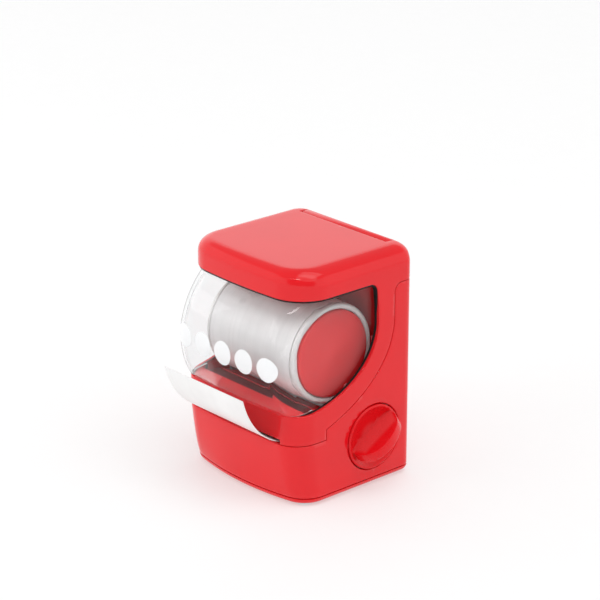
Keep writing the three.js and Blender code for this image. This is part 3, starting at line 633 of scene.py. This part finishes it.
# The fine material for each material slot of the CAD.
SLOT_OF = {
    "red_plastic": RED, "dark_red_plastic": DEEP_RED, "clear_plastic": CLEAR, "tape": ROLL_TAPE,
    "pale_plastic": PALE, "core_board": CARD, "grey_plastic": GREY, "nylon": NYLON, "rubber": RUBBER,
    "steel": STEEL,
}


def finish_piece(piece, material, body, slot_name, *replaced):
    piece.data.materials.clear()
    piece.data.materials.append(material)
    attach(piece, body)
    if replaced:
        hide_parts(*replaced)


# Every CAD node that stays gets the fine version of its material.
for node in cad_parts.values():
    for slot in node.material_slots:
        old = slot.material.name.split(".")[0] if slot.material else ""
        slot.material = SLOT_OF.get(old, GREY)
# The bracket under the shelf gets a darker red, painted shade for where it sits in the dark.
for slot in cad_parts["sill_bracket"].material_slots:
    slot.material = SHADED_RED


# -------------------- the lines between base, lid and window
def parting_line(surface, side):
    """The line between base and lid on the +x side, from the front middle to the column's top, as chart
    points. side is +1 for the lid's edge and -1 for the base's edge."""
    half = side * GAP / 2
    a, b = PART_A - half, PART_B - half
    foot_z, top_z = PART_Z + half, PART_COLUMN + half
    step_y, edge_y = PART_STEP - half, PART_Y + a
    round_r = PART_ROUND + half
    line = dense([(0.0, foot_z), side_place(surface, step_y, foot_z)], RIM_STEP)
    rise = arc(PART_Y, PART_ZARC, a, b, -math.acos((step_y - PART_Y) / a), 0, 60)
    rise += [(edge_y, PART_ZARC + (top_z - round_r - PART_ZARC) * k / 9) for k in range(1, 9)]
    rise += arc(edge_y + round_r, top_z - round_r, round_r, round_r, math.pi, math.pi / 2, 9)
    foot = [(step_y, foot_z + (rise[0][1] - foot_z) * k / 4) for k in range(1, 4)]
    return line + side_line(surface, foot + rise)


def opening_edge(surface):
    """The window opening's edge on the +x side, from the visor's middle to the chin, as chart points."""
    line = dense([(0.0, OPEN_VISOR), side_place(surface, OPEN_CORNER_Y, OPEN_VISOR)], RIM_STEP)[:-1]
    rear = arc(OPEN_CORNER_Y, OPEN_VISOR - OPEN_ROUND, OPEN_ROUND, OPEN_ROUND, math.pi / 2, 0, 10)
    rear += dense([rear[-1], (OPEN_BEND_Y, OPEN_BEND_Z), (OPEN_Y + OPEN_A, OPEN_Z)], RIM_STEP)[1:]
    rear += arc(OPEN_Y, OPEN_Z, OPEN_A, OPEN_B, 0, -math.pi / 2, 60)[1:]
    return line + side_line(surface, rear)


def x_line(surface, x, v0, v1):
    """A line of constant x on the rear, from height v0 to v1."""
    count = max(1, int(abs(v1 - v0) / FINE_STEP))
    return [(solve_u(surface, 0, x, v, U_REAR_CORNER, U_END), v) for v in np.linspace(v0, v1, count + 1)]


BODY_V = np.concatenate([np.arange(5, V_SIDE - 1, 2.6), np.linspace(V_SIDE, V_END, 19)])
BODY_GRID = grid_points(spread((15, 18, 33, 9, 15)), BODY_V)
EAR_R = PIN_Z - PART_COLUMN - GAP / 2  # the lid's ear round the pin


def within_block(points):
    """Keeps the inside of the wall between the hinge block's ends, above the column's top."""
    points = points.copy()
    high = points[:, 2] > PART_COLUMN
    points[high, 0] = np.minimum(points[high, 0], BLOCK_HALF)
    return points


def base_shell():
    """Lower body, rear column and hinge block, with the seat of the knob on the right."""
    top_z = PART_COLUMN - GAP / 2
    rear_u, block_u = (solve_u(body_surface, 0, BLOCK_HALF, v, U_REAR_CORNER, U_END) for v in (top_z, V_END))
    line = parting_line(body_surface, -1)
    line += dense([(line[-1][0], top_z), (rear_u, top_z)], FINE_STEP)[1:]
    line += x_line(body_surface, BLOCK_HALF, top_z, V_END)[1:]
    line += dense([(block_u, V_END), (U_END, V_END)], 2)[1:]
    rear_seam = dense([(U_END, V_END), (U_END, SHELL_BOTTOM)], SEAM_STEP)[1:]
    bottom = dense([(U_END, SHELL_BOTTOM), (0.0, SHELL_BOTTOM)], RIM_STEP)[1:]
    front_seam = dense([(0.0, SHELL_BOTTOM), (0.0, PART_Z - GAP / 2)], SEAM_STEP)[1:-1]
    outline = line + rear_seam + bottom + front_seam
    bottom_start = len(line) + len(rear_seam) - 1
    rims = [(0, len(line) - 1), (bottom_start, bottom_start + len(bottom))]
    # The left half is whole; the right half has the seat of the knob.
    build = Build()
    shell_panel(build, body_surface, outline, rims, BODY_GRID, WALL, keep_in=within_block)
    build.points = [points * MIRROR for points in build.points]
    build.faces = flipped(build.faces)
    seat = side_line(body_surface, arc(KNOB_Y, KNOB_Z, SEAT_R, SEAT_R, 0, 2 * math.pi, 96)[:-1])
    shell_panel(build, body_surface, outline, rims, BODY_GRID, WALL, hole=seat, keep_in=within_block)
    wall_x, floor_x, cup_r = HALF_WIDTH - WALL, SEAT_X - SEAT_WALL, KNOB_R + 1.8
    cup = [(wall_x, SEAT_R), (SEAT_X, SEAT_R), (SEAT_X, SEAT_BORE), (floor_x, SEAT_BORE), (floor_x, cup_r),
           (wall_x, cup_r), (wall_x, SEAT_R)]
    lathe(build, cup, KNOB_Y, KNOB_Z, 96)
    # The hinge block, rounded over the pin.
    lip = arc(PIN_Y, PIN_Z, BLOCK_CLEAR, BLOCK_CLEAR, math.pi / 2, math.pi, 8)
    front = PIN_Y - BLOCK_CLEAR
    block = [(BLOCK_REAR, BLOCK_BOTTOM), (BLOCK_REAR, 99.8), (38.3, HEIGHT - 0.02)]
    block += [(REAR - FILLET_REAR, HEIGHT), (PIN_Y + 0.1, HEIGHT)]
    block += [(y, min(z, HEIGHT)) for y, z in lip if z < HEIGHT - 0.01]
    block += [(front, BLOCK_LEDGE), (front, BLOCK_BOTTOM)]
    prism(build, block, BLOCK_HALF)
    return build.object("base_shell_fine")


def top_panel(build, edge_u, edge_x, groove_y):
    """The flat top over the ring's end, back to the groove at the hinge, outside and inside."""
    us = np.array(dense([(0.0, V_END), (edge_u, V_END)], RIM_STEP))[:, 0]
    ring = body_surface(us, np.full(len(us), V_END))[:, :2]
    tail = dense([(edge_x, float(ring[-1][1])), (edge_x, groove_y), (0.0, groove_y)], RIM_STEP)[1:]
    seam = dense([(0.0, groove_y), (0.0, float(ring[0][1]))], 3)[1:-1]
    outline = [tuple(p) for p in ring] + tail + seam
    grid = grid_points(np.arange(1.5, 36, 3.0), np.arange(-20, 40, 3.0))
    flat, faces = triangulated(outline, [], grid, 0.8)
    outside = np.column_stack([flat, np.full(len(flat), HEIGHT)])
    inner = outside - np.array([0, 0, WALL])
    # The rim runs back along the hinge block, then across the groove.
    run = list(range(len(ring) - 1, len(ring) + len(tail)))
    points = outside[run]
    at_edge = np.abs(points[:, 0] - edge_x) < 1e-6
    inward = np.where(at_edge[:, None], [[1.0, 0, 0]], [[0, -1.0, 0]])
    inward[at_edge & (np.abs(points[:, 1] - groove_y) < 1e-6)] = (1.0, -1.0, 0)
    up = np.tile([0, 0, 1.0], (len(run), 1))
    rows = rim_rows(points, up, inward, inner[run], EDGE)
    outside[run] = rows[0]
    build.rows(rows)
    build.add(outside, faces)
    build.add(inner, flipped(faces))


def lid_shell():
    """Visor, side rings and chin, one moulding with the opening for the window and the slot for the tape."""
    ear_x, part_z, column_z = BLOCK_HALF + GAP, PART_Z + GAP / 2, PART_COLUMN + GAP / 2
    # The slot for the tape, then the parting line.
    slot_u, foot_u = (solve_u(body_surface, 0, SLOT_HALF, v, 0.0, U_SIDE) for v in (SLOT_TOP, PART_Z))
    line = dense([(0.0, SLOT_TOP), (slot_u, SLOT_TOP)], RIM_STEP)
    line += dense([(slot_u, SLOT_TOP), (foot_u, part_z)], 0.6)[1:]
    line += [p for p in parting_line(body_surface, 1) if p[0] > foot_u + 0.3 or p[1] > PART_Z + GAP]
    # Under the column's top, then round the ear and up beside the hinge block.
    pin_u = side_place(body_surface, PIN_Y - 0.6, PART_COLUMN)[0]
    line += dense([(line[-1][0], column_z), (pin_u, column_z)], FINE_STEP)[1:]
    for u in np.linspace(pin_u, U_REAR, 9)[1:]:
        y = min(REAR, float(body_surface(u, PART_COLUMN)[1]))
        line.append((float(u), PIN_Z - math.sqrt(EAR_R**2 - max(0.0, y - PIN_Y) ** 2)))
    ear_z = line[-1][1]
    ear_u = solve_u(body_surface, 0, ear_x, ear_z, U_REAR_CORNER, U_END)
    line += dense([(U_REAR, ear_z), (ear_u, ear_z)], FINE_STEP)[1:]
    line += x_line(body_surface, ear_x, ear_z, V_END)[1:]
    edge_u = line[-1][0]
    outline = line + dense([(edge_u, V_END), (0.0, V_END)], RIM_STEP)[1:]
    outline += dense([(0.0, V_END), (0.0, OPEN_VISOR)], 1.6)[1:]
    opening_start = len(outline) - 1
    outline += opening_edge(body_surface)[1:]
    outline += dense([outline[-1], (0.0, OPEN_CHIN)], RIM_STEP)[1:]
    rims = [(0, len(line) - 1), (opening_start, len(outline) - 1)]
    outline += dense([(0.0, OPEN_CHIN), (0.0, SLOT_TOP)], SEAM_STEP)[1:-1]
    build = Build()
    shell_panel(build, body_surface, outline, rims, BODY_GRID, WALL)
    top_panel(build, edge_u, ear_x, BLOCK_FRONT - 0.4)
    build.mirrored()
    return build.object("lid_shell_fine")


def clear_window():
    """The drum's wall behind the opening, with a margin inside the lid."""
    bottom, top = OPEN_CHIN + GAP * 0.5, OPEN_VISOR + 1.7
    grown_a, grown_b, round_r = OPEN_A + DRUM_MARGIN, OPEN_B + DRUM_MARGIN, OPEN_ROUND + DRUM_MARGIN
    # In front the edge follows the opening; behind the step it goes on inside the lid's wall.
    start, step = (-math.acos((DRUM_STEP - OPEN_Y) / a) for a in (grown_a, OPEN_A))
    near = side_line(drum_surface, arc(OPEN_Y, OPEN_Z, OPEN_A, OPEN_B - GAP, -math.pi / 2, step, 12))
    far = arc(OPEN_Y, OPEN_Z, grown_a, grown_b, start, 0, 50)
    far += dense([far[-1], (OPEN_Y + grown_a - 0.2, OPEN_BEND_Z)], 1.5)[1:]
    far += arc(OPEN_CORNER_Y, top - round_r, round_r, round_r, 0, math.pi / 2, 12)
    far = side_line(drum_surface, far)
    outline = dense([(0.0, bottom), near[0]], RIM_STEP)[:-1] + near
    outline += dense([near[-1], far[0]], 1.5)[1:-1] + far
    outline += dense([far[-1], (0.0, top)], RIM_STEP)[1:]
    rim = (0, len(outline) - 1)
    outline += dense([(0.0, top), (0.0, bottom)], 2.0)[1:-1]
    grid = grid_points(spread((11, 14, 19)), np.arange(42, 91.5, 1.7))
    build = Build()
    shell_panel(build, drum_surface, outline, [rim], grid, DRUM_WALL, radius=0.25)
    build.mirrored()
    return build.object("clear_window_fine", angle=50)


finish_piece(base_shell(), RED, "base", "red_plastic", "base_shell")
finish_piece(lid_shell(), RED, "lid", "red_plastic", "lid_shell")
finish_piece(clear_window(), CLEAR, "lid", "clear_plastic", "clear_window")


# -------------------- base plate
PLATE_LEVELS = (
    (PLATE_BOTTOM, 2.6), (PLATE_BOTTOM, 2.2), (0.95, 1.7), (1.3, 1.1), (1.7, 0.65), (2.1, 0.35), (2.6, 0.12),
    (3.0, 0.02), (3.2, 0.1), (PLATE_TOP, 0.25), (PLATE_TOP, 1.5),
)  # height, inset
FOOT_HOLES = [(sx * 23, y, 4.8, 1.6) for sx in (-1, 1) for y in (-7, 29)]  # x, y, radius, depth
SCREW_HOLES = [(sx * x, y, 2.8, 2.2) for sx in (-1, 1) for x, y in ((30.6, -13.5), (30.3, 36))]


def base_plate():
    """The band round the lower edge, with recesses for the feet and the screws."""
    t = spread((11, 15, 11, 8, 7), range(6))
    rows = []
    for z, inset in PLATE_LEVELS:
        front, bow, corner = PLAN_FRONT[1] + inset, PLAN_BOW[1], PLAN_CORNER[1] - inset
        x, y = ring_point(t, HALF_WIDTH - inset, front, bow, corner, REAR - inset, REAR_CORNER - inset)
        right = np.column_stack([x, y, np.full(len(t), z)])
        rows.append(np.concatenate([right, right[1:-1][::-1] * MIRROR]))
    build = Build()
    build.rows(rows, closed=True)
    build.cap(rows[0])
    build.cap(rows[-1])
    holes = bmesh.new()
    for x, y, radius, depth in FOOT_HOLES + SCREW_HOLES:
        place = Matrix.Translation(to_frame([x, y, 0]))
        size = {"radius1": radius * MM, "radius2": radius * MM, "depth": 2 * depth * MM}
        bmesh.ops.create_cone(holes, cap_ends=True, segments=40, matrix=place, **size)
    return boolean(build.object("base_plate_fine"), "DIFFERENCE", cutter("plate_holes", holes))


finish_piece(base_plate(), RED, "base", "red_plastic", "base_plate")


# -------------------- knob
def catmull(points, steps):
    """A smooth curve through the points."""
    p = [np.array(q, float) for q in points]
    p = [2 * p[0] - p[1], *p, 2 * p[-1] - p[-2]]
    out = []
    for i in range(1, len(p) - 2):
        for k in range(steps):
            t = k / steps
            out.append(0.5 * (2 * p[i] + (p[i + 1] - p[i - 1]) * t
                              + (2 * p[i - 1] - 5 * p[i] + 4 * p[i + 1] - p[i + 2]) * t**2
                              + (-p[i - 1] + 3 * p[i] - 3 * p[i + 1] + p[i + 2]) * t**3))
    return [tuple(q) for q in out] + [tuple(p[-2])]


# The dished disc's section, as (x, inset from the knob's radius).
DISC = (
    (33.9, 0.2), (34.1, 0), (36.5, 0), (36.9, 0.1), (37.15, 0.35), (37.2, 0.7), (37.15, 1.05), (36.9, 1.4),
    (36.5, 1.8), (36.1, 2.5), (35.75, 3.4), (35.5, 4.6), (35.3, 6.5), (35.15, 9),
)
# The grip's half-moon outline, as (along the grip, x), and its round edges, as (across the grip, inset).
CREST = (
    (-12.1, 36), (-11.7, 40.8), (-9.8, 44.3), (-6.9, 46.4), (-3.4, 47.4), (1.6, 47.4), (6.3, 46), (9.6, 44),
    (12.2, 40.4), (13.1, 36),
)
GRIP_MIDDLE = np.array([0.2, 38.0])
GRIP_LEVELS = (
    (-3.0, 0.3), (-2.95, 0.12), (-2.8, 0.03), (-2.6, 0.0), (1.2, 0.0), (1.5, 0.08), (1.72, 0.25), (1.8, 0.55),
)


def knob():
    """A dished disc with a half-moon grip across it, one mesh."""
    disc = Build()
    lathe(disc, [(33.9, 0), *((x, KNOB_R - inset) for x, inset in DISC), (35.1, 0)], 0, 0, 128)
    outline = np.array(catmull(CREST, 6) + [(CREST[-1][0], GRIP_ROOT), (CREST[0][0], GRIP_ROOT)])
    away = unit(outline - GRIP_MIDDLE)
    turn_c, turn_s = math.cos(KNOB_TILT), math.sin(KNOB_TILT)
    rows = []
    for across, inset in GRIP_LEVELS:
        along, x = (outline - away * inset).T
        rows.append(np.column_stack([x, along * turn_c + across * turn_s, along * turn_s - across * turn_c]))
    grip = Build()
    grip.rows(rows, closed=True)
    grip.cap(rows[0])
    grip.cap(rows[-1])
    piece = boolean(disc.object("knob_fine"), "UNION", grip.object("knob_grip"), bevel=0.35)
    solid = piece.data
    solid.transform(Matrix.Translation((0, KNOB_Y * MM, KNOB_Z * MM)))
    solid.polygons.foreach_set("use_smooth", [True] * len(solid.polygons))
    solid.set_sharp_from_angle(angle=math.radians(40))
    return piece


finish_piece(knob(), KNOB_RED, "knob_drive", "red_plastic", "knob")


# -------------------- roll
ROLL_PROFILE = [(-25, 13), (-25, ROLL_R), (25, ROLL_R), (25, 13), (-25, 13)]
RIM_PROFILE = [(25.3, 19.1), (25.3, 21.5), (26.5, 21.5), (27.25, 20.9), (27.3, 20.2), (26.9, 19.1)]


def cap_profile(bore):
    """An end cap's section. The left cap has a bore for the spindle; the right cap has a boss instead."""
    outer = [(25.3, bore), (25.3, CAP_R), (27.0, CAP_R), (27.45, CAP_R - 0.25), (27.7, CAP_R - 0.9),
             (27.75, CAP_R - 2), (27.6, 9)]
    if bore:
        return outer + [(27.6, bore), (25.3, bore)]
    return outer + [(27.6, 2.2), (27.75, 1.7), (27.8, 1.2), (27.8, 0)]


def turned_piece(name, profile, sign=1):
    build = Build()
    lathe(build, [(sign * x, r) for x, r in profile], ROLL_Y, ROLL_Z, 128)
    return build.object(name)


piece = turned_piece("tape_roll_fine", rounded(ROLL_PROFILE, 0.25))
finish_piece(piece, ROLL_TAPE, "roll", "tape", "tape_roll")
for side, sign, bore in (("left", -1, 3.3), ("right", 1, 0.0)):
    piece = turned_piece(f"{side}_roll_cap_fine", cap_profile(bore), sign)
    finish_piece(piece, CAP_RED, "roll", "red_plastic", f"{side}_roll_cap")
    piece = turned_piece(f"{side}_roll_rim_fine", rounded(RIM_PROFILE + RIM_PROFILE[:1], 0.4), sign)
    finish_piece(piece, PALE, "roll", "pale_plastic", f"{side}_roll_rim")


# -------------------- tape strip
def tape_strip():
    """The tape from the roll, round the pinch roller, out of the slot and up to its curled free end."""
    pinch, roll = np.array([FEED_Y, PINCH_Z]), np.array([ROLL_Y, ROLL_Z])
    wrap, reach = PINCH_R + GAP + TAPE / 2, ROLL_R + GAP + TAPE / 2
    to_roll = roll - pinch
    slope = math.atan2(to_roll[1], to_roll[0]) - math.asin((reach - wrap) / np.linalg.norm(to_roll))
    below = np.array([math.sin(slope), -math.cos(slope)])
    leave = roll + below * reach
    path = [leave + (pinch + below * wrap - leave) * k / 8 for k in range(8)]
    path += [np.array(p) for p in arc(FEED_Y, PINCH_Z, wrap, wrap, slope - math.pi / 2, -math.pi / 2, 8)]
    path += [np.array([y, STRIP_Z]) for y in np.linspace(FEED_Y, TAIL_Y, 8)[1:-1]]
    path += list(bezier([(TAIL_Y, STRIP_Z), (-32, 32), (-38.5, 40), (TAPE / 2 - REAR, TAIL_TOP)], 40))
    path = np.array(path)
    along = unit(np.gradient(path, axis=0))
    normal = np.column_stack([-along[:, 1], along[:, 0]])
    build = Build()
    xs = np.linspace(-ROLL_HALF, ROLL_HALF, 26)
    sheets = []
    for side in (1, -1):
        edge = path + normal * side * TAPE / 2
        sheets.append(np.array([[(x, y, z) for x in xs] for y, z in edge]))
    build.rows(list(sheets[0]))
    build.rows([row[::-1] for row in sheets[1]])
    for k in (0, -1):
        build.rows([sheets[0][:, k], sheets[1][:, k]])
        build.rows([sheets[0][k], sheets[1][k]])
    return build.object("tape_strip_fine", angle=60)


finish_piece(tape_strip(), STRIP_TAPE, "base", "tape", "tape_strip")


# -------------------- tray behind the roll
TRAY_SLITS = ((-26, 26, 1, 7.4, 30, 40), (-31.3, -29.1, -1.8, 11, 30, 45))  # from and to in x, y and z


def roll_tray():
    """A curved wall under and behind the roll, with slits for the tape and for the spindle's bracket."""
    section = arc(ROLL_Y, ROLL_Z, TRAY_OUTER, TRAY_OUTER, TRAY_START, 0, 72)
    section += [(ROLL_Y + TRAY_OUTER, TRAY_TOP - 0.4), (ROLL_Y + TRAY_OUTER - 0.4, TRAY_TOP)]
    section += [(ROLL_Y + TRAY_INNER + 0.4, TRAY_TOP), (ROLL_Y + TRAY_INNER, TRAY_TOP - 0.4)]
    section += arc(ROLL_Y, ROLL_Z, TRAY_INNER, TRAY_INNER, 0, TRAY_START, 72)
    build = Build()
    prism(build, section, TRAY_HALF)
    slits = bmesh.new()
    for x0, x1, y0, y1, z0, z1 in TRAY_SLITS:
        middle = Matrix.Translation(to_frame([(x0 + x1) / 2, (y0 + y1) / 2, (z0 + z1) / 2]))
        size = Matrix.Diagonal(((x1 - x0) * MM, (y1 - y0) * MM, (z1 - z0) * MM, 1))
        bmesh.ops.create_cube(slits, size=1, matrix=middle @ size)
    return boolean(build.object("roll_tray_fine"), "DIFFERENCE", cutter("tray_slits", slits))


finish_piece(roll_tray(), TRAY_RED, "base", "red_plastic", "roll_tray")


# -------------------- shelf behind the chin
def lid_sill():
    """The shelf that closes the lid between the chin and the tape's way down."""
    # Its front follows the inside of the lid's wall; its rear edge is round.
    ring_u = np.linspace(0, U_SIDE, 400)
    ring = body_surface(ring_u, np.full(len(ring_u), 40.0), WALL + 0.1)
    rear = arc(SILL_REAR - 2.4, SILL_TOP - 1.55, 2.3, 1.3, math.pi / 2, 0, 8)
    sections = []
    for x in np.linspace(0, SILL_HALF, 36):
        front = float(np.interp(x, ring[:, 0], ring[:, 1]))
        lip = front + 0.2
        section = [(front, SILL_BOTTOM), (front, SILL_TOP - 0.2), (lip, SILL_TOP)]
        section += [(lip + (rear[0][0] - lip) * k / 5, SILL_TOP - 0.25 * k / 5) for k in range(1, 5)]
        section += [*rear, (SILL_REAR, SILL_BOTTOM)]
        sections.append([(x, y, z) for y, z in section])
    build = Build()
    build.rows(sections, closed=True)
    build.cap(sections[-1])
    build.mirrored()
    return build.object("lid_sill")


# The shelf's brighter red is painted light.
finish_piece(lid_sill(), LIT_SILL_RED, "lid", "red_plastic")


# -------------------- printed dots on the window
def window_dots():
    """Thin closed discs, laid on the window's outside."""
    build = Build()
    angles = np.linspace(0, 2 * np.pi, 48, endpoint=False)
    for x in DOT_X:
        rows = []
        for radius, lift in ((0.3, 0.02), (0.6, 0.02), (1.0, 0.02), (0.99, 0.07), (0.6, 0.07), (0.3, 0.07)):
            row = []
            for t in angles:
                px, pz = x + DOT_R * radius * math.cos(t), DOT_Z + DOT_R * radius * math.sin(t)
                u = solve_u(drum_surface, 0, abs(px), pz, 0.0, U_SIDE)
                p = drum_surface(u, pz, -lift)
                row.append((math.copysign(p[0], px), p[1], p[2]))
            rows.append(row)
        build.rows(rows, closed=True)
        build.cap(rows[0])
        build.cap(rows[-1])
    return build.object("window_dots", weld=0.005)


finish_piece(window_dots(), INK, "lid", "tape")


# -------------------- painted shade band round the window opening
def at_depths(chart, depths):
    """Points below the body's outside, each at its own depth."""
    return np.array([body_surface(u, v, depth) for (u, v), depth in zip(chart, depths)])


def window_shade_band():
    """A black band of painted shade in the gap between the lid and the window, wider towards the visor."""
    edge = np.array(opening_edge(body_surface))
    along = unit(np.gradient(edge, axis=0))
    inward = np.column_stack([along[:, 1], -along[:, 0]])
    width, depth = (np.interp(edge[:, 1], *zip(*sorted(table))) for table in (SHADE_BAND_LIPS, SHADE_BAND_DEPTHS))
    near = edge + inward * 0.03
    far = edge + inward * width[:, None]
    bottom = np.full(len(edge), SHADE_BAND_INNER)
    corners = ((near, depth), (far, depth + 0.15), (far, bottom), (near, bottom))
    rows = [at_depths(chart, depths) for chart, depths in corners]
    build = Build()
    build.rows([*rows, rows[0]])
    build.add([row[-1] for row in rows], [(0, 1, 2, 3)])
    build.mirrored()
    return build.object("window_shade_band")


# The black band is painted shade in the gap round the window.
finish_piece(window_shade_band(), PAINTED_SHADE_BLACK, "lid", "rubber")


# -------------------- stage
# The stage, lamps and camera are in metres, in the row frame.
CENTRE = (0.0, 0.0, 0.05)
FLOOR_HALF, FLOOR_GLOW = 40, 0.44
# name, place, target, size, power, and whether shiny surfaces mirror it
LAMPS = (
    ("softbox", (0.62, -0.78, 1.15), CENTRE, (0.34, 0.1), 1.2, True),
    ("strip", (0.36, -0.95, 1.15), CENTRE, (0.3, 0.025), 0.5, True),
    ("top", (0.5, 0.3, 1.7), CENTRE, (1.2, 1.2), 5.6, True),
    ("front", (-0.5, -1.5, 0.7), CENTRE, (1.0, 0.6), 4, False),
    ("low_right", (1.1, -0.9, 0.12), CENTRE, (0.7, 0.2), 1.6, False),
    ("low_left", (-1.1, -0.5, 0.3), (0, 0, 0), (0.7, 0.4), 1.5, False),
)
SUN_FROM, SUN_POWER, SUN_ANGLE = (0.9, -0.2, 1.4), 0.55, math.radians(50)
CAMERA_PLACE, CAMERA_TARGET, CAMERA_LENS = (0.67191, -0.58819, 0.41581), (-0.01898, 0.02322, 0.06780), 138.78


def looking(place, target):
    """The rotation of a lamp or camera at the place that looks at the target."""
    return (Vector(target) - Vector(place)).to_track_quat("-Z", "Y").to_euler()


def white_floor():
    mesh = bpy.data.meshes.new("floor")
    corners = [(x * FLOOR_HALF, y * FLOOR_HALF, 0) for x, y in ((-1, -1), (1, -1), (1, 1), (-1, 1))]
    mesh.from_pydata(corners, [], [(0, 1, 2, 3)])
    shader = next(n for n in FLOOR.node_tree.nodes if n.type == "BSDF_PRINCIPLED")
    shader.inputs["Emission Color"].default_value = (1, 1, 1, 1)
    shader.inputs["Emission Strength"].default_value = FLOOR_GLOW
    mesh.materials.append(FLOOR)
    return linked("floor", mesh)


def studio_world():
    """A bright band round the horizon under a dimmer ceiling, and a dim side towards the front right."""
    world = bpy.data.worlds.new("studio")
    world.use_nodes = True
    tree = world.node_tree
    direction = tree.nodes.new("ShaderNodeTexCoord").outputs["Generated"]
    split = tree.nodes.new("ShaderNodeSeparateXYZ")
    tree.links.new(direction, split.inputs["Vector"])
    ceiling = map_range(tree, split.outputs["Z"], 1.16, 0.62, 0.56, 0.64, smooth=True)
    facing = tree.nodes.new("ShaderNodeVectorMath")
    facing.operation = "DOT_PRODUCT"
    facing.inputs[1].default_value = (0.70, -0.62, 0.35)
    tree.links.new(direction, facing.inputs[0])
    dim_side = map_range(tree, facing.outputs["Value"], 1.0, 0.3, 0.74, 0.80, smooth=True)
    level = tree.nodes.new("ShaderNodeMath")
    level.operation = "MULTIPLY"
    tree.links.new(ceiling, level.inputs[0])
    tree.links.new(dim_side, level.inputs[1])
    background = tree.nodes["Background"]
    tree.links.new(level.outputs["Value"], background.inputs["Strength"])
    background.inputs["Color"].default_value = (1, 1, 1, 1)
    return world


def lamps():
    for name, place, target, size, power, mirrored in LAMPS:
        data = bpy.data.lights.new(name, "AREA")
        data.shape = "RECTANGLE"
        data.size, data.size_y = size
        data.energy = power
        lamp = linked(name, data)
        lamp.location = place
        lamp.rotation_euler = looking(place, target)
        lamp.visible_glossy = mirrored
    data = bpy.data.lights.new("sun", "SUN")
    data.energy, data.angle = SUN_POWER, SUN_ANGLE
    linked("sun", data).rotation_euler = looking(SUN_FROM, (0, 0, 0))


def photo_camera():
    data = bpy.data.cameras.new("camera")
    data.lens, data.sensor_width, data.clip_start = CAMERA_LENS, 36, 0.01
    camera = linked("camera", data)
    camera.location = CAMERA_PLACE
    camera.rotation_euler = looking(CAMERA_PLACE, CAMERA_TARGET)
    return camera


floor = white_floor()
lamps()
scene = bpy.context.scene
scene.world = studio_world()
scene.camera = photo_camera()
scene.view_settings.view_transform = "Standard"
